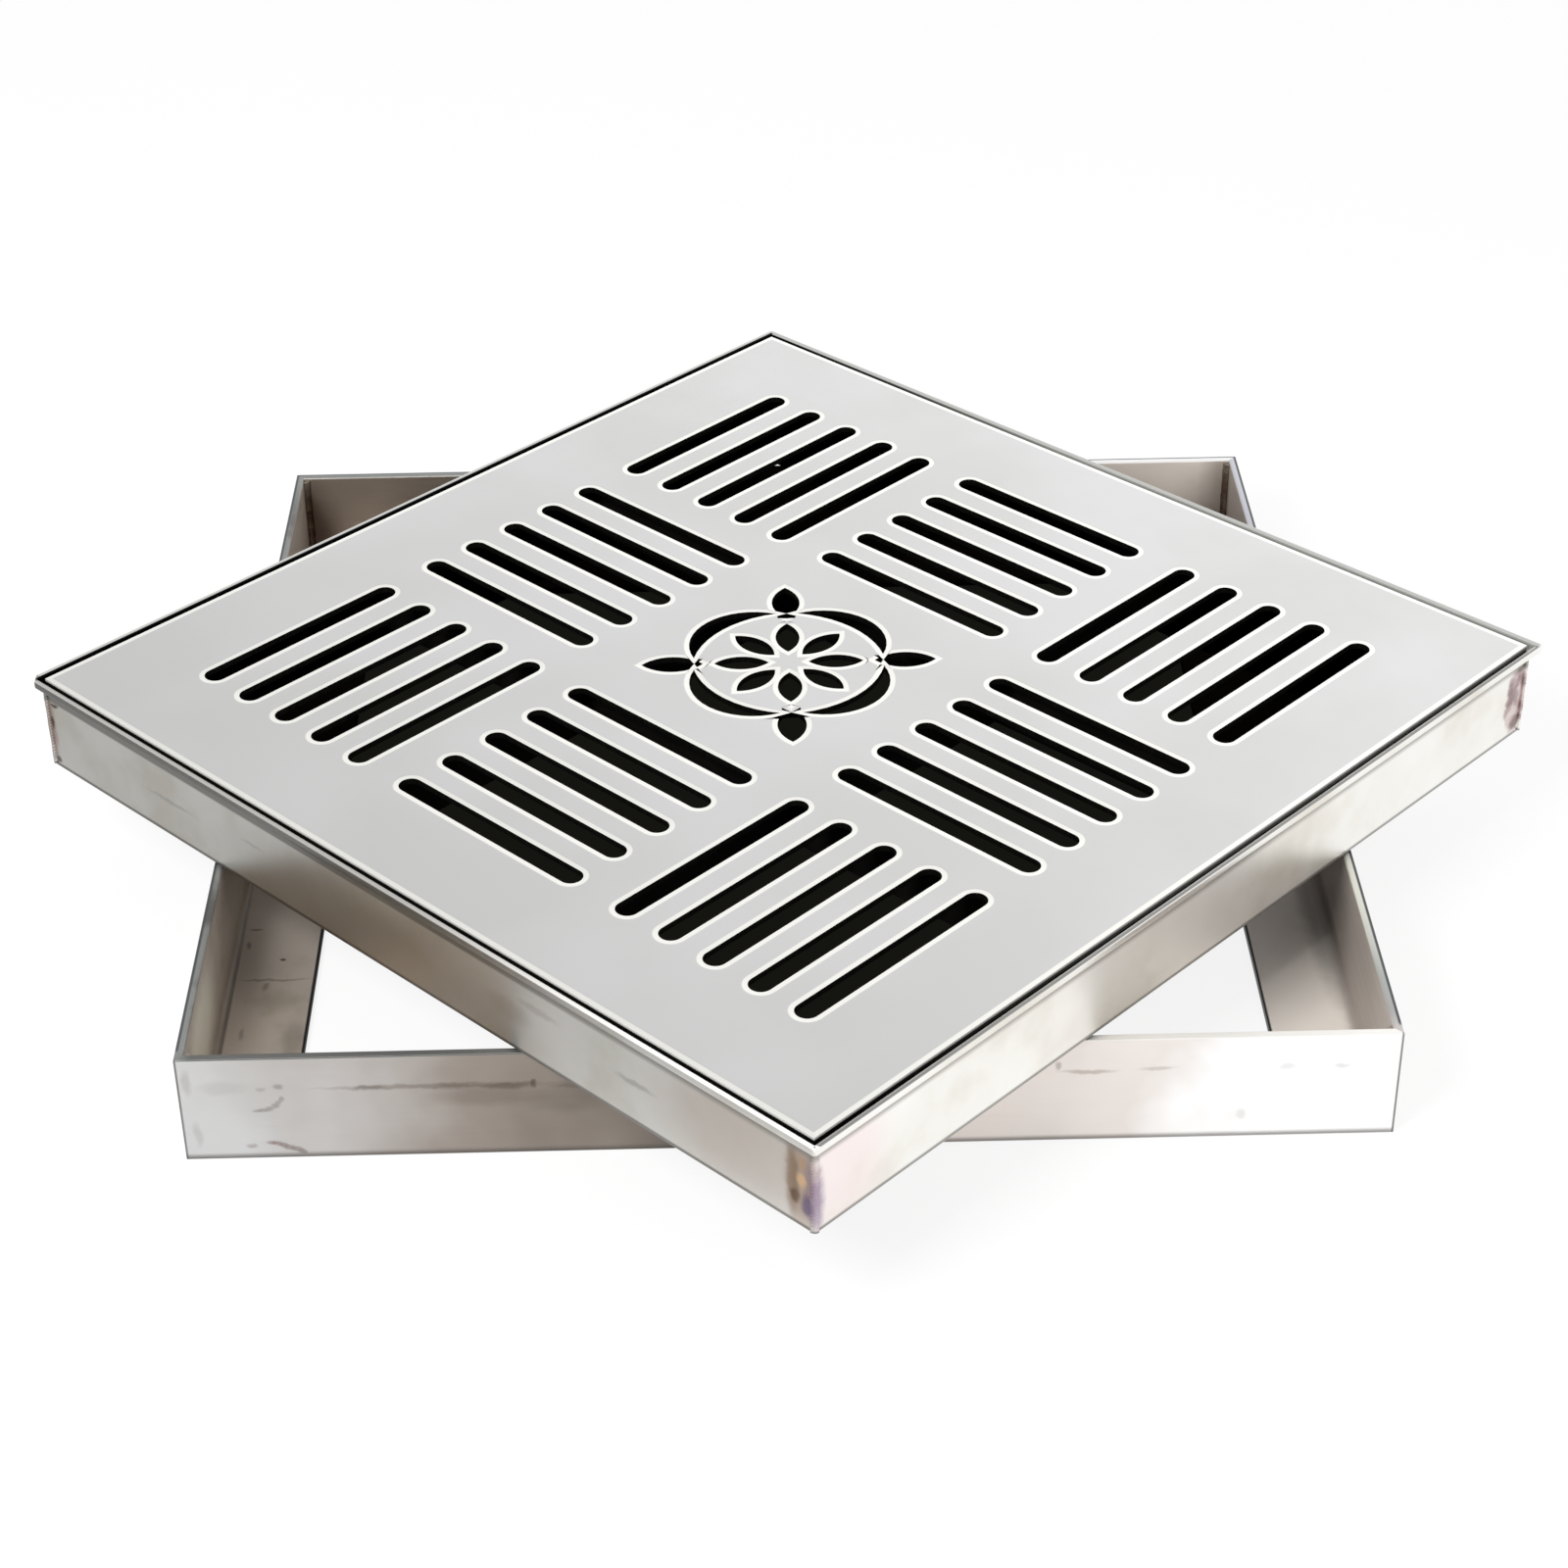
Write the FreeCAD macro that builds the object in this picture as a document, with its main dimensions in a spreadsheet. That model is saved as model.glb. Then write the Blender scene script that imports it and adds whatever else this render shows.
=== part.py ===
# Square inspection cover of folded stainless sheet, lying turned across its frame of angle bar.
# Millimetres, +Z up, ground at z = 0, origin under the centre of the cover.
import FreeCAD
import Part
import Sketcher
import math
import os

# Driving sizes in millimetres, angles in degrees
SIZES = {
    # Frame of angle bar
    "frame_side": 500.0,
    "frame_height": 52.0,
    "frame_wall": 4.0,
    "ledge_width": 42.0,
    "frame_root": 3.0,
    "frame_toe": 1.2,
    "frame_bead": 3.0,
    "frame_bead_drop": 0.5,
    # Where the frame lies under the cover
    "frame_shift_x": -5.2,
    "frame_shift_y": 27.6,
    "cover_turn": 45.2,
    # How the cover drops into the frame
    "cover_clearance": 2.5,
    "flush_drop": 1.0,
    # Rim of the cover
    "rim_sheet": 1.2,
    "rim_bend": 0.8,
    "lip_overhang": 4.5,
    "hem_round": 1.0,
    "foot_width": 32.0,
    "rim_bead_proud": 1.0,
    # Slotted plate
    "plate_thickness": 3.0,
    "plate_gap": 3.0,
    "slot_width": 10.5,
    "slot_pitch": 25.0,
    "block_gap": 23.0,
    # Cut-out rosette in the middle of the plate
    "petal_start": 9.0,
    "petal_length": 25.0,
    "petal_width": 11.0,
    "leaf_start": 39.0,
    "leaf_length": 28.0,
    "leaf_width": 13.0,
    "crescent_reach": 52.0,
    "crescent_span": 54.0,
    "crescent_depth": 10.0,
    "crescent_rise": 18.0,
    # Strips that the plate rests on
    "rest_width": 20.0,
    "rest_thickness": 3.0,
    # Ribs under the plate
    "rib_thickness": 4.0,
    "rib_clear": 14.0,
    "lap_clearance": 0.15,
    "rib_bead": 3.0,
}

SLOTS_IN_BLOCK = 5
PETALS = 8
QUARTERS = 4

doc = FreeCAD.newDocument("inspection_cover")
sheet = doc.addObject("Spreadsheet::Sheet", "sizes")
for row, (name, value) in enumerate(SIZES.items(), start=1):
    sheet.set(f"A{row}", name)
    sheet.set(f"B{row}", str(value))
    sheet.setAlias(f"B{row}", name)
doc.recompute()

# Derived sizes, written as expressions on the sheet
FRAME_HALF = "(sizes.frame_side / 2)"
FRAME_INNER = f"({FRAME_HALF} - sizes.frame_wall)"
LIP_HALF = f"({FRAME_INNER} - sizes.cover_clearance)"
WALL_HALF = f"({LIP_HALF} - sizes.lip_overhang)"
WALL_INNER = f"({WALL_HALF} - sizes.rim_sheet)"
HEM_INNER = f"({LIP_HALF} - 2 * sizes.rim_sheet)"
PLATE_HALF = f"({HEM_INNER} - sizes.plate_gap)"
COVER_HEIGHT = "(sizes.frame_height - sizes.frame_wall - sizes.flush_drop)"
SEAT = f"({COVER_HEIGHT} - sizes.plate_thickness)"
RIM_OUTER_BEND = "(sizes.rim_bend + sizes.rim_sheet)"
WALL_TOP = f"({SEAT} - {RIM_OUTER_BEND})"
BLOCK = f"({SLOTS_IN_BLOCK - 1} * sizes.slot_pitch + sizes.slot_width)"
BLOCK_PITCH = f"({BLOCK} + sizes.block_gap)"
RIB_PLACE = f"({BLOCK_PITCH} / 2)"


def number(text):
    """Value of an expression on the sheet."""
    return float(sheet.evalExpression(text))


def new_body(label):
    body = doc.addObject("PartDesign::Body", label)
    body.Label = label
    return body


def new_sketch(body, name, role):
    """Empty sketch on one of the body's own planes."""
    plane = [item for item in body.Origin.OriginFeatures if item.Role == role][0]
    sketch = body.newObject("Sketcher::SketchObject", f"{body.Name}_{name}")
    sketch.AttachmentSupport = (plane, [""])
    sketch.MapMode = "FlatFace"
    return sketch


def pin(sketch, shape, end, x, y):
    """Hold one point of the sketch at two expressions measured from its origin."""
    for kind, text in (("DistanceX", x), ("DistanceY", y)):
        index = sketch.addConstraint(Sketcher.Constraint(kind, -1, 1, shape, end, number(text)))
        sketch.setExpression(f"Constraints[{index}]", text)


def outline(sketch, corners):
    """Closed straight-sided outline; each corner is a pair of expressions."""
    first = sketch.GeometryCount
    points = [FreeCAD.Vector(number(x), number(y), 0) for x, y in corners]
    count = len(points)
    for i in range(count):
        sketch.addGeometry(Part.LineSegment(points[i], points[(i + 1) % count]))
    for i in range(count):
        sketch.addConstraint(Sketcher.Constraint("Coincident", first + i, 2, first + (i + 1) % count, 1))
    for i, (x, y) in enumerate(corners):
        pin(sketch, first + i, 1, x, y)


def mirrored(corners):
    """The same outline on the other side of the upright axis."""
    return [(f"-({x})", y) for x, y in corners]


def pad(body, sketch, length, both_ways=False):
    feature = body.newObject("PartDesign::Pad", f"{sketch.Name}_pad")
    feature.Profile = sketch
    feature.SideType = "Symmetric" if both_ways else "One side"
    feature.setExpression("Length", length)
    sketch.Visibility = False
    doc.recompute()
    return feature


def cut_through(body, sketch):
    feature = body.newObject("PartDesign::Pocket", f"{sketch.Name}_cut")
    feature.Profile = sketch
    feature.Type = "ThroughAll"
    feature.SideType = "Symmetric"
    sketch.Visibility = False
    doc.recompute()
    return feature


def round_edges(body, feature, name, places, radius):
    """Round the edges that run along X through the given points of the section."""
    names = []
    for y, z in places:
        point = Part.Vertex(FreeCAD.Vector(0, number(y), number(z)))
        gaps = [edge.distToShape(point)[0] for edge in feature.Shape.Edges]
        names.append(f"Edge{gaps.index(min(gaps)) + 1}")
    fillet = body.newObject("PartDesign::Fillet", f"{body.Name}_{name}")
    fillet.Base = (feature, names)
    fillet.setExpression("Radius", radius)
    doc.recompute()
    return fillet


def mitre(body, reach):
    """Cut both ends of a side back to the diagonals of its square."""
    sketch = new_sketch(body, "mitre", "XY_Plane")
    wedge = [("0", "0"), (f"2 * {reach}", f"-2 * {reach}"), (f"2 * {reach}", "0")]
    outline(sketch, wedge)
    outline(sketch, mirrored(wedge))
    return cut_through(body, sketch)


def lay_on_frame(item, turn=0, rise="0"):
    """Put a piece of the cover across the top of the frame."""
    item.setExpression("Placement.Base.z", f"sizes.frame_height + {rise}")
    item.setExpression("Placement.Rotation.Angle", f"sizes.cover_turn + {turn}")


def lay_on_ground(item, turn=0):
    """Put a piece of the frame on the ground."""
    item.setExpression("Placement.Base.x", "sizes.frame_shift_x")
    item.setExpression("Placement.Base.y", "sizes.frame_shift_y")
    item.setExpression("Placement.Rotation.Angle", f"{turn}")


def bead(name, radius, height, x, y, z, turn):
    """Quarter-round upright weld bead with its root on the line through x and y."""
    run = doc.addObject("Part::Cylinder", name)
    run.Angle = 90
    run.setExpression("Radius", radius)
    run.setExpression("Height", height)
    run.setExpression("Placement.Base.x", x)
    run.setExpression("Placement.Base.y", y)
    run.setExpression("Placement.Base.z", z)
    run.setExpression("Placement.Rotation.Angle", f"{turn}")
    return run


def bead_group(label, runs):
    group = doc.addObject("Part::Compound", label)
    group.Label = label
    group.Links = runs
    return group


# Frame: four lengths of angle bar, upright leg outside and ledge turned inward, mitred at the corners
def frame_angle(label, turn):
    body = new_body(label)
    section = new_sketch(body, "section", "YZ_Plane")
    outline(section, [
        (f"-{FRAME_HALF}", "0"),
        (f"-({FRAME_HALF} - sizes.ledge_width)", "0"),
        (f"-({FRAME_HALF} - sizes.ledge_width)", "sizes.frame_wall"),
        (f"-{FRAME_INNER}", "sizes.frame_wall"),
        (f"-{FRAME_INNER}", "sizes.frame_height"),
        (f"-{FRAME_HALF}", "sizes.frame_height"),
    ])
    blank = pad(body, section, "sizes.frame_side", True)
    root = round_edges(body, blank, "root", [(f"-{FRAME_INNER}", "sizes.frame_wall")], "sizes.frame_root")
    toe_places = [
        (f"-{FRAME_INNER}", "sizes.frame_height"),
        (f"-({FRAME_HALF} - sizes.ledge_width)", "sizes.frame_wall"),
    ]
    round_edges(body, root, "toes", toe_places, "sizes.frame_toe")
    mitre(body, FRAME_HALF)
    lay_on_ground(body, turn)
    return body


nodes = []
for turn, side in ((0, "front"), (90, "right"), (180, "back"), (270, "left")):
    nodes.append(frame_angle(f"frame_angle_{side}", turn))

# Frame: a bead up each inner corner, from the root to just under the rounded toe
BEAD_FOOT = "(sizes.frame_wall + sizes.frame_root)"
BEAD_TOP = "(sizes.frame_height - sizes.frame_toe - sizes.frame_bead_drop)"
frame_runs = []
for turn, side_x, side_y in ((180, "", ""), (270, "-", ""), (0, "-", "-"), (90, "", "-")):
    frame_runs.append(bead(
        f"frame_bead_{turn}",
        "sizes.frame_bead",
        f"{BEAD_TOP} - {BEAD_FOOT}",
        f"{side_x}{FRAME_INNER}",
        f"{side_y}{FRAME_INNER}",
        BEAD_FOOT,
        turn,
    ))
frame_welds = bead_group("frame_corner_welds", frame_runs)
lay_on_ground(frame_welds)
nodes.append(frame_welds)


# Rim: four folded walls, foot turned inward, top stepped outward and hemmed upright round the plate
def rim_side(label, turn):
    body = new_body(label)
    section = new_sketch(body, "section", "YZ_Plane")
    under_step = f"({SEAT} - sizes.rim_sheet)"
    foot = f"({WALL_HALF} - sizes.foot_width)"
    outline(section, [
        (f"-{foot}", "0"),
        (f"-{foot}", "sizes.rim_sheet"),
        (f"-{WALL_INNER}", "sizes.rim_sheet"),
        (f"-{WALL_INNER}", SEAT),
        (f"-{HEM_INNER}", SEAT),
        (f"-{HEM_INNER}", COVER_HEIGHT),
        (f"-{LIP_HALF}", COVER_HEIGHT),
        (f"-{LIP_HALF}", under_step),
        (f"-{WALL_HALF}", under_step),
        (f"-{WALL_HALF}", "0"),
    ])
    blank = pad(body, section, f"2 * {LIP_HALF}", True)
    inner_places = [
        (f"-{WALL_INNER}", "sizes.rim_sheet"),
        (f"-{HEM_INNER}", SEAT),
        (f"-{WALL_HALF}", under_step),
    ]
    inner = round_edges(body, blank, "inner_bends", inner_places, "sizes.rim_bend")
    outer_places = [
        (f"-{WALL_HALF}", "0"),
        (f"-{WALL_INNER}", SEAT),
        (f"-{LIP_HALF}", under_step),
    ]
    outer = round_edges(body, inner, "outer_bends", outer_places, RIM_OUTER_BEND)
    hem_places = [
        (f"-{HEM_INNER}", COVER_HEIGHT),
        (f"-{LIP_HALF}", COVER_HEIGHT),
    ]
    round_edges(body, outer, "hem", hem_places, "sizes.hem_round")
    mitre(body, LIP_HALF)
    # The upright wall stops square at each corner, and the bead fills the open corner
    ends = new_sketch(body, "open_corner", "XZ_Plane")
    corner = [
        (WALL_INNER, RIM_OUTER_BEND),
        (f"2 * {LIP_HALF}", RIM_OUTER_BEND),
        (f"2 * {LIP_HALF}", WALL_TOP),
        (WALL_INNER, WALL_TOP),
    ]
    outline(ends, corner)
    outline(ends, mirrored(corner))
    cut_through(body, ends)
    lay_on_frame(body, turn)
    return body


CORNERS = ((0, "front_right"), (90, "back_right"), (180, "back_left"), (270, "front_left"))
for turn, side in CORNERS:
    nodes.append(rim_side(f"rim_{side}", turn))

# Rim: a bead in each open corner, from the foot's bend to the step
rim_runs = []
for turn, side_x, side_y in ((0, "", ""), (90, "-", ""), (180, "-", "-"), (270, "", "-")):
    rim_runs.append(bead(
        f"rim_bead_{turn}",
        "sizes.rim_sheet + sizes.rim_bead_proud",
        f"{WALL_TOP} - {RIM_OUTER_BEND}",
        f"{side_x}{WALL_INNER}",
        f"{side_y}{WALL_INNER}",
        RIM_OUTER_BEND,
        turn,
    ))
rim_welds = bead_group("rim_corner_welds", rim_runs)
lay_on_frame(rim_welds)
nodes.append(rim_welds)


# Rest strips: flat bars welded inside the rim under the edge of the plate
def rest_strip(label, turn):
    body = new_body(label)
    plan = new_sketch(body, "plan", "XY_Plane")
    inner = f"({WALL_INNER} - sizes.rest_width)"
    outline(plan, [
        (f"-{WALL_INNER}", f"-{WALL_INNER}"),
        (WALL_INNER, f"-{WALL_INNER}"),
        (inner, f"-{inner}"),
        (f"-{inner}", f"-{inner}"),
    ])
    pad(body, plan, "sizes.rest_thickness")
    lay_on_frame(body, turn, f"({SEAT} - sizes.rest_thickness)")
    return body


for turn, side in CORNERS:
    nodes.append(rest_strip(f"rest_{side}", turn))


# Ribs: flat bars on edge under the solid bands of the plate, halved where they cross
def rib(label, turn, place, notch_above):
    body = new_body(label)
    face = new_sketch(body, "face", "XZ_Plane")
    low = "sizes.rib_clear"
    middle = f"(({SEAT} + sizes.rib_clear) / 2)"
    shoulder = f"({SEAT} - sizes.rest_thickness)"
    step = f"({WALL_INNER} - sizes.rest_width)"
    near = f"({RIB_PLACE} - sizes.rib_thickness / 2 - sizes.lap_clearance)"
    far = f"({RIB_PLACE} + sizes.rib_thickness / 2 + sizes.lap_clearance)"
    edge = SEAT if notch_above else low
    notch = [(far, edge), (far, middle), (near, middle), (near, edge)]
    other = [(f"-{x}", z) for x, z in reversed(notch)]
    bottom = [(f"-{WALL_INNER}", low), (WALL_INNER, low)]
    right_end = [(WALL_INNER, shoulder), (step, shoulder), (step, SEAT)]
    left_end = [(f"-{step}", SEAT), (f"-{step}", shoulder), (f"-{WALL_INNER}", shoulder)]
    if notch_above:
        outline(face, bottom + right_end + notch + other + left_end)
    else:
        swept = other[::-1] + notch[::-1]
        outline(face, bottom[:1] + swept + bottom[1:] + right_end + left_end)
    pad(body, face, "sizes.rib_thickness", True)
    lay_on_frame(body, turn)
    body.setExpression("Placement.Base.x", place[0])
    body.setExpression("Placement.Base.y", place[1])
    return body


# Each rib stands off the middle of the turned cover by half a block pitch
ALONG = (f"-{RIB_PLACE} * sin(sizes.cover_turn)", f"{RIB_PLACE} * cos(sizes.cover_turn)")
ACROSS = (f"{RIB_PLACE} * cos(sizes.cover_turn)", f"{RIB_PLACE} * sin(sizes.cover_turn)")
nodes.append(rib("rib_along_near", 0, (f"-({ALONG[0]})", f"-({ALONG[1]})"), True))
nodes.append(rib("rib_along_far", 0, ALONG, True))
nodes.append(rib("rib_across_near", 90, (f"-({ACROSS[0]})", f"-({ACROSS[1]})"), False))
nodes.append(rib("rib_across_far", 90, ACROSS, False))

# Ribs: a bead up each side of every rib end, against the rim wall and under the rest strip
rib_runs = []
flank = "sizes.rib_thickness / 2"
bead_height = f"{SEAT} - sizes.rest_thickness - sizes.rib_clear"
for quarter in range(QUARTERS):
    for place in ("", "-"):
        for out in ("", "-"):
            offset = f"({place}{RIB_PLACE} + {out}{flank})"
            spots = (
                (WALL_INNER, offset, 90 if out == "" else 180),
                (f"-{offset}", WALL_INNER, 180 if out == "" else 270),
                (f"-{WALL_INNER}", f"-{offset}", 270 if out == "" else 0),
                (offset, f"-{WALL_INNER}", 0 if out == "" else 90),
            )
            x, y, turn = spots[quarter]
            run_name = f"rib_bead_{len(rib_runs)}"
            rib_runs.append(bead(run_name, "sizes.rib_bead", bead_height, x, y, "sizes.rib_clear", turn))
rib_welds = bead_group("rib_end_welds", rib_runs)
lay_on_frame(rib_welds)
nodes.append(rib_welds)

# Slotted plate
plate = new_body("slotted_plate")
square = new_sketch(plate, "square", "XY_Plane")
outline(square, [
    (f"-{PLATE_HALF}", f"-{PLATE_HALF}"),
    (PLATE_HALF, f"-{PLATE_HALF}"),
    (PLATE_HALF, PLATE_HALF),
    (f"-{PLATE_HALF}", PLATE_HALF),
])
pad(plate, square, "sizes.plate_thickness")


def slot(name, block_x, block_y, along_x):
    """First slot of a block: round-ended, as long as the block is wide."""
    sketch = new_sketch(plate, name, "XY_Plane")
    radius = "(sizes.slot_width / 2)"
    reach = f"({BLOCK} / 2 - {radius})"
    side = f"({(SLOTS_IN_BLOCK - 1) / 2} * sizes.slot_pitch)"
    if along_x:
        ends = [(f"{block_x} - {reach}", f"{block_y} - {side}"), (f"{block_x} + {reach}", f"{block_y} - {side}")]
        start = 90
    else:
        ends = [(f"{block_x} - {side}", f"{block_y} - {reach}"), (f"{block_x} - {side}", f"{block_y} + {reach}")]
        start = 180
    size = number(radius)
    up = FreeCAD.Vector(0, 0, 1)
    for k, (x, y) in enumerate(ends):
        begin = math.radians(start + 180 * k)
        circle = Part.Circle(FreeCAD.Vector(number(x), number(y), 0), up, size)
        sketch.addGeometry(Part.ArcOfCircle(circle, begin, begin + math.pi))
    arcs = sketch.Geometry
    sketch.addGeometry(Part.LineSegment(arcs[0].EndPoint, arcs[1].StartPoint))
    sketch.addGeometry(Part.LineSegment(arcs[1].EndPoint, arcs[0].StartPoint))
    sketch.addConstraint(Sketcher.Constraint("Tangent", 0, 2, 2, 1))
    sketch.addConstraint(Sketcher.Constraint("Tangent", 2, 2, 1, 1))
    sketch.addConstraint(Sketcher.Constraint("Tangent", 1, 2, 3, 1))
    sketch.addConstraint(Sketcher.Constraint("Tangent", 3, 2, 0, 1))
    pin(sketch, 0, 3, *ends[0])
    pin(sketch, 1, 3, *ends[1])
    index = sketch.addConstraint(Sketcher.Constraint("Radius", 0, size))
    sketch.setExpression(f"Constraints[{index}]", radius)
    return cut_through(plate, sketch), sketch


def slot_row(name, sketch, axis, count, spacing):
    """One direction in which a slot is repeated."""
    step = plate.newObject("PartDesign::LinearPattern", name)
    step.Direction = (sketch, [axis])
    step.Mode = "Spacing"
    step.Occurrences = count
    step.setExpression("Offset", spacing)
    return step


def repeat(name, feature, steps):
    pattern = plate.newObject("PartDesign::MultiTransform", name)
    pattern.Originals = [feature]
    pattern.Transformations = steps
    plate.Tip = pattern
    doc.recompute()
    return pattern


# Corner blocks: slots along X
first, base = slot("corner_slot", f"-{BLOCK_PITCH}", f"-{BLOCK_PITCH}", True)
repeat("corner_blocks", first, [
    slot_row("corner_slots", base, "V_Axis", SLOTS_IN_BLOCK, "sizes.slot_pitch"),
    slot_row("corner_columns", base, "H_Axis", 2, f"2 * {BLOCK_PITCH}"),
    slot_row("corner_rows", base, "V_Axis", 2, f"2 * {BLOCK_PITCH}"),
])

# Side blocks left and right of the middle: slots along Y
first, base = slot("side_slot", f"-{BLOCK_PITCH}", "0", False)
repeat("side_blocks", first, [
    slot_row("side_slots", base, "H_Axis", SLOTS_IN_BLOCK, "sizes.slot_pitch"),
    slot_row("side_columns", base, "H_Axis", 2, f"2 * {BLOCK_PITCH}"),
])

# Side blocks before and behind the middle: slots along Y
first, base = slot("end_slot", "0", f"-{BLOCK_PITCH}", False)
repeat("end_blocks", first, [
    slot_row("end_slots", base, "H_Axis", SLOTS_IN_BLOCK, "sizes.slot_pitch"),
    slot_row("end_rows", base, "V_Axis", 2, f"2 * {BLOCK_PITCH}"),
])


def arc_between(sketch, start, finish, rise):
    """Arc between two points that stands off its chord by the given rise, to the left of the way it runs."""
    a = FreeCAD.Vector(number(start[0]), number(start[1]), 0)
    b = FreeCAD.Vector(number(finish[0]), number(finish[1]), 0)
    height = number(rise)
    half = a.distanceToPoint(b) / 2
    size = (half * half + height * height) / (2 * abs(height))
    left = FreeCAD.Vector(a.y - b.y, b.x - a.x, 0).normalize()
    centre = (a + b) * 0.5 + left * (height - math.copysign(size, height))
    # An arc runs anticlockwise, so one that stands off to the left starts at the far point
    begin, end = (b, a) if height > 0 else (a, b)
    angles = [math.atan2(point.y - centre.y, point.x - centre.x) for point in (begin, end)]
    if angles[1] < angles[0]:
        angles[1] += 2 * math.pi
    circle = Part.Circle(centre, FreeCAD.Vector(0, 0, 1), size)
    index = sketch.addGeometry(Part.ArcOfCircle(circle, angles[0], angles[1]))
    chord = f"sqrt(({finish[0]} - ({start[0]}))^2 + ({finish[1]} - ({start[1]}))^2)"
    radius = f"(({chord})^2 / 4 + ({rise})^2) / (2 * ({rise}))"
    return index, (2, 1) if height > 0 else (1, 2), size, f"abs({radius})"


def lens(name, start, finish, near_rise, far_rise):
    """Cut-out bounded by two arcs that share their end points."""
    sketch = new_sketch(plate, name, "XY_Plane")
    near, near_ends, near_size, near_radius = arc_between(sketch, start, finish, near_rise)
    far, far_ends, far_size, far_radius = arc_between(sketch, start, finish, far_rise)
    for k in (0, 1):
        sketch.addConstraint(Sketcher.Constraint("Coincident", near, near_ends[k], far, far_ends[k]))
    pin(sketch, near, near_ends[0], *start)
    pin(sketch, near, near_ends[1], *finish)
    for index, size, radius in ((near, near_size, near_radius), (far, far_size, far_radius)):
        held = sketch.addConstraint(Sketcher.Constraint("Radius", index, size))
        sketch.setExpression(f"Constraints[{held}]", radius)
    return cut_through(plate, sketch), sketch


def around(name, feature, sketch, count):
    ring = plate.newObject("PartDesign::PolarPattern", name)
    ring.Originals = [feature]
    ring.Axis = (sketch, ["N_Axis"])
    ring.Angle = 360
    ring.Occurrences = count
    plate.Tip = ring
    doc.recompute()
    return ring


# Rosette: a ring of pointed petals, a leaf towards each corner and a crescent towards each side
petal, base = lens(
    "petal",
    ("sizes.petal_start", "0"),
    ("sizes.petal_start + sizes.petal_length", "0"),
    "sizes.petal_width / 2",
    "-sizes.petal_width / 2",
)
around("petals", petal, base, PETALS)
leaf, base = lens(
    "leaf",
    ("sizes.leaf_start * cos(45)", "sizes.leaf_start * sin(45)"),
    ("(sizes.leaf_start + sizes.leaf_length) * cos(45)", "(sizes.leaf_start + sizes.leaf_length) * sin(45)"),
    "sizes.leaf_width / 2",
    "-sizes.leaf_width / 2",
)
around("leaves", leaf, base, QUARTERS)
crescent_low = "(sizes.crescent_reach - sizes.crescent_rise)"
crescent, base = lens(
    "crescent",
    ("-sizes.crescent_span / 2", crescent_low),
    ("sizes.crescent_span / 2", crescent_low),
    "sizes.crescent_rise",
    "sizes.crescent_rise - sizes.crescent_depth",
)
around("crescents", crescent, base, QUARTERS)
lay_on_frame(plate, 0, SEAT)
nodes.append(plate)

doc.recompute()

# Every feature and every piece must be sound
for item in doc.Objects:
    if "Invalid" in item.State or "Error" in item.State:
        raise RuntimeError(f"{item.Label} did not compute: {item.State}")
for node in nodes:
    if node.Shape.isNull() or not node.Shape.isValid():
        raise RuntimeError(f"{node.Label} has no valid shape")

os.makedirs("parts", exist_ok=True)
for node in nodes:
    node.Shape.exportStep(f"parts/{node.Label}.step")
    print(node.Label, len(node.Shape.Solids), "solids,", round(node.Shape.Volume, 1), "mm3")
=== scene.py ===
import bmesh
import bpy
import math
from mathutils import Matrix, Vector
from mathutils.kdtree import KDTree


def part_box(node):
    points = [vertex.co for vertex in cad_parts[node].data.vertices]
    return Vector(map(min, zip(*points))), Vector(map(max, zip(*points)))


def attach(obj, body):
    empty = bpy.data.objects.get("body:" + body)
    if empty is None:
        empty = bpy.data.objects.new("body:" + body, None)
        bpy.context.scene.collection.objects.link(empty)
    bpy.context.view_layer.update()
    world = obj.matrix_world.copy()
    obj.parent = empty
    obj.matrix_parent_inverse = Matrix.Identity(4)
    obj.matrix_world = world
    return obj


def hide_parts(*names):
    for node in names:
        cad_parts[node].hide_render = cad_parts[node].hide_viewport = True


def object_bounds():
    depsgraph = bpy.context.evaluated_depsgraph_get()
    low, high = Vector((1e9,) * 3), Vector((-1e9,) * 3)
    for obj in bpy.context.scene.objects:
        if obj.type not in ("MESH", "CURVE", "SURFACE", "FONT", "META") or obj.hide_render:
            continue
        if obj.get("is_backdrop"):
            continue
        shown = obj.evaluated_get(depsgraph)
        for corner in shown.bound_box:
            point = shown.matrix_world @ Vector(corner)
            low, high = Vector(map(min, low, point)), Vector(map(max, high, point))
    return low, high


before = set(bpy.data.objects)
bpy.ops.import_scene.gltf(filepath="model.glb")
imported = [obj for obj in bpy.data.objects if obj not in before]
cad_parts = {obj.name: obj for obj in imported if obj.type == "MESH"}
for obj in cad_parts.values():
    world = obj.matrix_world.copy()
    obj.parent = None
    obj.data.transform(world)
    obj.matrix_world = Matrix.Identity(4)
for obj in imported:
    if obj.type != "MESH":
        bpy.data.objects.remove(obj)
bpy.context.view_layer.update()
scene = bpy.context.scene

# Viewpoint
# A long lens from the front, looking down on the cover at about a third of a right angle.
# The camera is rolled by under a degree, as a hand-held one is.
LENS_MM = 75.21
SENSOR_MM = 36.0
AIM = Vector((-0.00205, 0.04885, 0.0))
AZIMUTH = math.radians(-0.94)
ELEVATION = math.radians(33.57)
ROLL = math.radians(-0.69)
DISTANCE = 1.58365

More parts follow.
